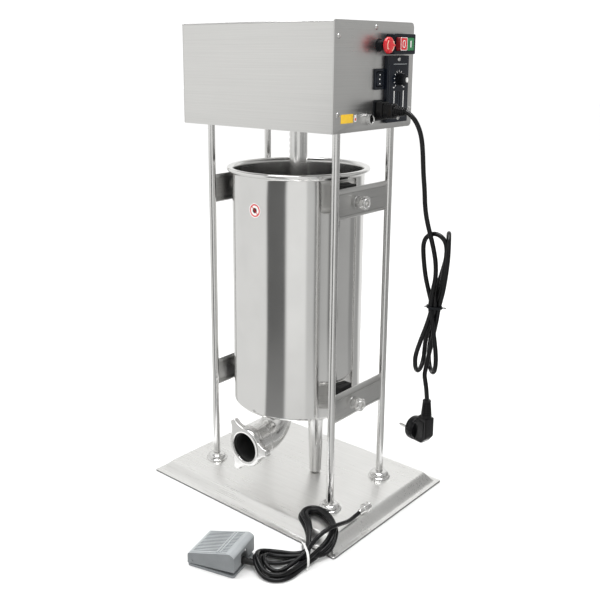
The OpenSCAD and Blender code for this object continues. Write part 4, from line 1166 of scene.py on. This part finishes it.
def speed_control():
    face = PANEL + 6
    plate = Shape()
    plate.slab(window(*SPEED_PLATE, 59, 101, 1.5), PANEL, face, bevel=0.8, segments=3,
                material=GLOSS_BLACK)
    plate.slab(window(*SPEED_PLATE, 45, 77), PANEL - 27, PANEL + 0.5, bevel=0.5, material=GLOSS_BLACK)
    plate.slab(window(49.5, 694, 51, 79, 1.5), face - 0.3, face + 0.45, bevel=0.25,
                material=GLOSS_BLACK)
    inset = face + 0.45
    # Painted highlights: a grey line along the raised face's top edge and a faintly lighter line along its
    # left edge.
    plate.slab(window(54, 733.2, 37, 0.9, 0.3), inset - 0.3, inset + 0.12, material=GREY)
    plate.slab(window(25.3, 694, 0.8, 76, 0.3), inset - 0.3, inset + 0.12, material=PAINT)
    for k in range(11):
        angle = 225 - 27 * k
        tick = at(0, *SPEED_DIAL) @ turn("X", angle)
        plate.block((inset - 0.2, 11.3, -0.55), (inset + 0.15, 14.2, 0.55), 0.05, place=tick, material=WHITE)
    for y, low, high, width in ((39.5, 672, 693, 1.9), (65, 666, 693, 2.2)):
        plate.block((inset - 0.2, y - width / 2, low), (inset + 0.15, y + width / 2, high), 0.05,
                    material=WHITE)
    for y, z in ((38, 698), (65, 698.5)):
        plate.block((inset - 0.2, y - 1.8, z - 0.8), (inset + 0.15, y + 1.8, z + 0.8), 0.05, material=WHITE)
    plate.slab(window(52.5, 680, 8.5, 24, 1.2), inset - 0.3, inset + 0.5, bevel=0.25, material=BLACK,
                holes=[window(52.5, 680, 5.2, 20.5, 0.8)])
    plate.lathe([(0, inset - 1), (9.9, inset - 1), (9.9, inset + 0.3), (0, inset + 0.35)], 40,
                at(0, *SPEED_DIAL) @ turn("Y", 90), material=BLACK)
    plate.face_out()
    plate.piece("speed_plate", "frame", stands_for=["speed_controller"])

    fixings = Shape()
    for angle, (y, z) in ((20, (50, 740.7)), (55, (52, 651.8))):
        add_shape(fixings, pan_head(at(face - 0.1, y, z) @ turn("Y", 90) @ turn("Z", angle)))
    fixings.piece("speed_plate_screws", "frame", STEEL_ROD, sharp=30)

    knob = Shape(at(PANEL, *SPEED_DIAL) @ ALONG_X)
    flutes = []
    for k in range(18):
        flutes += arc((0, 0), 8.5, 20 * k, 20 * k + 11, 2) + [spoke(7.9, 20 * k + 15.5)]
    knob.prism(flutes, 8.2, 17.5, bevel=0.4, material=BLACK)
    knob.lathe([(0, -5), (3, -5), (3, 7), (8.5, 7), (8.5, 8.4), (7.7, 8.8), (7.7, 17.2), (7.4, 18.4),
                (6.6, 19), (5.6, 19), (5.2, 18.5), (0, 18.3)], 48, material=BLACK)
    knob.prism([(3.6 + a, -0.6 + b) for a, b in round_rectangle(5.4, 7.8, 2.6)], 17, 19.5, bevel=0.5,
               material=WHITE)
    knob.block((4.6, -2.9, 10), (8.75, -1.2, 17.2), 0.25, material=WHITE)
    knob.piece("dial_knob", "speed_dial", stands_for=["speed_knob"])


def direction_switch():
    bezel = Shape()
    bezel.slab(window(*ROCKER, 24.8, 31, 1.6), PANEL, PANEL + 2, bevel=0.6, segments=3,
                holes=[window(*ROCKER, 17, 23, 0.8)])
    for y, z, width, height in ((-3.85, 711.3, 1.9, 25), (15.45, 711.3, 1.9, 25)):
        bezel.block((PANEL - 22, y - width / 2, z - height / 2),
                    (PANEL + 0.5, y + width / 2, z + height / 2), 0.2)
    bezel.block((PANEL - 22, -4.5, 698.6), (PANEL + 0.5, 16.1, 699.7), 0.2)
    bezel.block((PANEL - 22, -4.5, 722.9), (PANEL + 0.5, 16.1, 724.0), 0.2)
    bezel.face_out()
    bezel.piece("rocker_bezel", "frame", GLOSS_BLACK, ["direction_bezel"])

    rocker = Shape(at(0, 13.8, 711.3) @ ALONG_Y)
    pivot = PANEL - 3
    side = [(pivot - 3, -4), (pivot, -10), (pivot + 6.5, -10.2)]
    side += [(pivot + 5.1 + 1.4 * (z / 10.2) ** 2, z) for z in (-8, -5, -2.5, 0, 2.5, 5, 8)]
    side += [(pivot + 6.5, 10.2), (pivot, 10), (pivot - 3, 4)]
    rocker.prism(side, 0, 16, bevel=0.4, material=GLOSS_BLACK)
    for z in (-6.8, 0, 6.8):
        x = pivot + 5.1 + 1.4 * (z / 10.2) ** 2
        dot = at(x, z, 8) @ turn("Y", 90)
        rocker.lathe([(0, -0.5), (1.25, -0.5), (1.25, 0.1), (0, 0.15)], 24, dot, material=WHITE)
    rocker.piece("rocker_key", "rocker", stands_for=["direction_rocker"])


def inlet_and_socket():
    inlet = Shape()
    inlet.slab(window(5, 665, 24, 31, 3), PANEL, PANEL + 2, bevel=0.6, segments=3)
    inlet.slab(window(5, 665, 20, 24, 2), PANEL - 22, PANEL + 0.5, bevel=0.4)
    inlet.piece("mains_inlet", "frame", BLACK, ["power_inlet"])

    socket = Shape(at(PANEL, -19, 653) @ turn("Y", 90))
    socket.lathe([(5.2, -6), (5.2, 6.7), (5.8, 7.5), (7.4, 7.5), (7.9, 7.0), (7.9, 5.2), (7.4, 4.9),
                  (7.4, 4.3), (7.9, 4.0), (8.3, 3.6), (8.3, 0), (6.8, 0), (6.8, -16), (0, -16), (0, -6)],
                 64, material=STEEL_ROD)
    socket.lathe([(0, -6.4), (5.15, -6.4), (5.15, -1.2), (0, -1.0)], 40, material=BLACK)
    for angle in (40, 160, 280):
        y, z = spoke(2.6, angle)
        socket.rod((y, z, -1.4), (y, z, 2.5), 0.55, 12, material=STEEL_ROD)
    socket.piece("pedal_jack", "frame", stands_for=["pedal_socket"])


emergency_stop()
start_stop_switch()
speed_control()
direction_switch()
inlet_and_socket()


# ---------------------------------------------------------------- foot pedal

PEDAL_LENGTH = 79.0
PEDAL_WIDTH = 66.0


def pedal():
    """Wedge-shaped cover with raised grip ribs over a flat base, both moulded with soft corners."""
    upright = at(0, PEDAL_WIDTH, 0) @ ALONG_Y
    side = rounded([(0, 4.8), (0, 21), (71, 38.3), (79, 34.5), (79, 9.4)], [0.6, 4.0, 5.0, 5.0, 0.6])
    cover = Shape(PEDAL_PLACE)
    cover.prism(side, 0, PEDAL_WIDTH, bevel=2.2, segments=4, place=upright)
    hollow = Shape(PEDAL_PLACE)
    hollow.prism([(2.4, 2), (2.4, 19.2), (70, 35.9), (76.6, 32.6), (76.6, 2)], 2.4, PEDAL_WIDTH - 2.4,
                 place=upright)
    cover.cut(hollow)
    exit_hole = Shape(PEDAL_PLACE)
    exit_hole.prism(round_rectangle(20, 22, 3), 74, 82, place=at(0, 33, 16) @ ALONG_X)
    cover.cut(exit_hole)
    pin_hole = Shape(PEDAL_PLACE)
    pin_hole.rod((7, -1, 9.6), (7, PEDAL_WIDTH + 1, 9.6), 2.3, 32)
    cover.cut(pin_hole)
    slope = math.degrees(math.atan2(38.3 - 21, 71))
    top = at(0, 0, 21) @ turn("Y", -slope)
    for k in range(1, 15):
        y = 4.6 + 4.06 * k
        cover.block((6.5, y - 0.8, -0.6), (66, y + 0.8, 0.9), 0.35, place=top)
    for x in (50.5, 55.5):
        cover.block((x - 1.5, 3.2, -0.6), (x + 1.5, PEDAL_WIDTH - 3.2, 1.3), 0.6, place=top)
    for y in (3.4, PEDAL_WIDTH - 3.4):
        cover.block((5.0, y - 0.9, -0.6), (67, y + 0.9, 0.6), 0.35, place=top)
    cover.face_out()
    # Faces low on the cover that do not face up get the darker grey: painted shade, as the plastic is the
    # same.
    cover.materials = [GREY, GREY_PAINTED_SHADE]
    for face in cover.bm.faces:
        face.material_index = 1 if face.normal.z < 0.55 and face.calc_center_median().z < 33 else 0
    cover.piece("pedal_shell", "pedal", stands_for=["pedal_cover"], sharp=40)

    # The base is made in the darker grey of the painted shade.
    base = Shape(PEDAL_PLACE)
    base.prism([(x + PEDAL_LENGTH / 2, y + PEDAL_WIDTH / 2)
                for x, y in round_rectangle(PEDAL_LENGTH, PEDAL_WIDTH, 4)], 0, 4, bevel=0.9, segments=3)
    rim = [(x + PEDAL_LENGTH / 2, y + PEDAL_WIDTH / 2) for x, y in round_rectangle(72, 59, 3)]
    well = [(x + 35, y + PEDAL_WIDTH / 2) for x, y in round_rectangle(58, 54, 2)]
    base.prism(rim, 3.6, 14.6, bevel=0.4, holes=[well])
    base.prism([(x + 72.5, y + 33) for x, y in round_rectangle(11, 18, 3)], 3.6, 19, bevel=1.2, segments=3)
    pin_hole = Shape(PEDAL_PLACE)
    pin_hole.rod((7, -1, 9.6), (7, PEDAL_WIDTH + 1, 9.6), 2.25, 32)
    base.cut(pin_hole)
    base.piece("pedal_foot", "frame", GREY_PAINTED_SHADE, ["pedal_base"], sharp=40)

    grommet = Shape(PEDAL_PLACE @ at(0, 33, 11) @ turn("Y", 90))
    grommet.lathe([(3.3, 76), (5.6, 76), (5.6, 79.4), (5.0, 80.2), (4.4, 86), (3.9, 96), (3.3, 96.4)], 32,
                  closed=True)
    grommet.piece("cable_grommet", "frame", RUBBER)


pedal()


# ---------------------------------------------------------------- pieces kept from the CAD

KEPT = {
    "base_stiffener": STEEL_ZINC, "column_nuts": STEEL_ZINC, "housing_floor": STEEL_COVER, "bushes": BRONZE,
    "piston_nut": STEEL_ZINC, "air_valve": STEEL_ROD, "drive_frame": IRON, "pinion_shaft": STEEL_ZINC,
    "pinion_gear": STEEL_ZINC, "worm_wheel": BRONZE, "worm_shaft": STEEL_ZINC, "drive_motor": PAINT,
    "estop_stem": BLACK, "pedal_pin": STEEL_ROD, "pedal_switch": BLACK}

for node_name, node_material in KEPT.items():
    kept = NODES[node_name]
    kept.data.materials.clear()
    kept.data.materials.append(node_material)


# ---------------------------------------------------------------- floor, light and surroundings

def floor():
    shader = Shader("studio_floor", (0.86, 0.86, 0.855), roughness=0.62)
    cloud = shader.noise(1.5, detail=2.0)
    shader.colours(shader.remap(cloud, 0.0, 1.0), (0.845, 0.845, 0.84), (0.87, 0.87, 0.865))
    mesh = bpy.data.meshes.new("floor")
    bm = bmesh.new()
    bmesh.ops.create_grid(bm, x_segments=8, y_segments=8, size=12.0)
    bm.to_mesh(mesh)
    bm.free()
    mesh.materials.append(shader.material)
    item = bpy.data.objects.new("floor", mesh)
    item.location = (0, 0, 0)
    bpy.context.scene.collection.objects.link(item)


# The light tent's strips: compass direction in degrees from +x towards +y, then the brightness
# on the floor close to the object, at the foot of the wall and at the top of the wall.
STRIPS = [
    (-180, 0.74, 0.74, 0.86), (-104, 0.76, 0.74, 0.86), (-100, 0.26, 0.12, 0.80), (-72, 0.26, 0.13, 0.80),
    (-67, 0.70, 0.80, 0.80), (-38, 0.68, 0.80, 0.80), (-34, 0.62, 0.56, 0.62), (-24, 0.62, 0.54, 0.60),
    (-21, 0.50, 0.16, 0.36), (-15, 0.50, 0.16, 0.36), (-12, 0.60, 0.42, 0.52), (0, 0.58, 0.46, 0.54),
    (4, 0.50, 0.14, 0.32), (11, 0.50, 0.14, 0.32), (15, 0.44, 0.36, 0.46), (46, 0.42, 0.38, 0.52),
    (50, 0.36, 0.26, 0.44), (58, 0.36, 0.26, 0.44), (62, 0.40, 0.36, 0.52), (80, 0.40, 0.32, 0.52),
    (90, 0.78, 0.82, 0.92), (180, 0.74, 0.74, 0.86)]


# Brightness of the tent's roof and of the lamp in it.
ROOF_CLOTH = (0.34, 0.34, 0.34, 1)
ROOF_LAMP = (7.0, 7.0, 7.0, 1)


def tent():
    """Cloth of grey and white strips round the set and over the floor, with a lamp in its roof.

    Only reflections see it.
    """
    material = bpy.data.materials.new("tent_cloth")
    material.use_nodes = True
    tree = material.node_tree
    tree.nodes.clear()
    spot = add_node(tree, "TexCoord").outputs["Object"]
    split = add_node(tree, "SeparateXYZ", Vector=spot)
    angle = add_node(tree, "Math", {"operation": "ARCTAN2"})
    connect(tree, angle.inputs[0], split.outputs["Y"])
    connect(tree, angle.inputs[1], split.outputs["X"])
    direction = add_node(tree, "MapRange", From_Min=-math.pi, From_Max=math.pi,
                         Value=angle.outputs["Value"]).outputs["Result"]
    height = split.outputs["Z"]

    def ramp(column):
        node = add_node(tree, "ValToRGB", Fac=direction)
        while len(node.color_ramp.elements) < len(STRIPS):
            node.color_ramp.elements.new(0.5)
        for element, strip in zip(node.color_ramp.elements, STRIPS):
            value = strip[column]
            element.position = (strip[0] + 180) / 360
            element.color = (value, value, value * 0.985, 1)
        return node.outputs["Color"]

    def between(value, start, end, first, second):
        share = add_node(tree, "MapRange", From_Min=start, From_Max=end, Value=value)
        return add_node(tree, "Mix", {"data_type": "RGBA"}, Factor=share.outputs["Result"], A=first,
                        B=second).outputs["Result"]

    distance = add_node(tree, "VectorMath", {"operation": "LENGTH"})
    connect(tree, distance.inputs[0], spot)
    low = between(distance.outputs["Value"], 0.35, 1.06, ramp(1), ramp(2))
    high = between(height, 0.42, 0.60, low, ramp(3))
    dim = between(height, 1.1, 1.6, high, ROOF_CLOTH)
    mixed = between(height, 1.945, 1.955, dim, ROOF_LAMP)
    glow = add_node(tree, "Emission", Strength=1.0, Color=mixed)
    add_node(tree, "OutputMaterial", Surface=glow.outputs["Emission"])

    shape = bmesh.new()
    line = [(0.28, 0.0006), (0.5, 0.0006), (0.8, 0.0006), (1.05, 0.0006), (1.05, 0.4), (1.05, 0.9),
            (1.05, 1.8), (0.72, 1.94), (0.62, 1.96), (0.0001, 1.99)]
    rings = [[shape.verts.new((r * math.cos(math.radians(3 * k)), r * math.sin(math.radians(3 * k)), z))
              for k in range(120)] for r, z in line]
    for first, second in zip(rings, rings[1:]):
        for k in range(120):
            shape.faces.new((first[k], first[(k + 1) % 120], second[(k + 1) % 120], second[k]))
    mesh = bpy.data.meshes.new("tent")
    shape.to_mesh(mesh)
    shape.free()
    mesh.materials.append(material)
    item = bpy.data.objects.new("tent", mesh)
    bpy.context.scene.collection.objects.link(item)
    item.visible_camera = False
    item.visible_diffuse = False
    item.visible_shadow = False
    item.visible_transmission = False


def softbox(name, location, aim, size, power):
    data = bpy.data.lights.new(name, "AREA")
    data.shape = "DISK"
    data.size = size
    data.energy = power
    item = bpy.data.objects.new(name, data)
    item.location = location
    item.rotation_euler = (Vector(aim) - Vector(location)).to_track_quat("-Z", "Y").to_euler()
    item.visible_glossy = False
    item.visible_camera = False
    bpy.context.scene.collection.objects.link(item)


def studio():
    """White surroundings, brighter overhead, and two soft lamps."""
    world = bpy.data.worlds.new("studio")
    world.use_nodes = True
    tree = world.node_tree
    coords = add_node(tree, "TexCoord")
    split = add_node(tree, "SeparateXYZ", Vector=coords.outputs["Generated"])
    sky = add_node(tree, "MapRange", Value=split.outputs["Z"], From_Min=0.0, From_Max=1.0, To_Min=0.55,
                   To_Max=1.55)
    rays = add_node(tree, "LightPath")
    chosen = add_node(tree, "Mix", Factor=rays.outputs["Is Camera Ray"], A=sky.outputs["Result"], B=1.1)
    background = tree.nodes["Background"]
    connect(tree, background.inputs["Strength"], chosen.outputs["Result"])
    background.inputs["Color"].default_value = (1.0, 1.0, 1.0, 1.0)
    bpy.context.scene.world = world
    bpy.context.scene.view_settings.view_transform = "Standard"
    softbox("top_light", (-0.3, -0.1, 2.7), (0, 0, 0.3), 2.2, 34)
    softbox("key_light", (-1.9, -1.2, 2.0), (0, 0, 0.4), 1.2, 18)


floor()
tent()
studio()
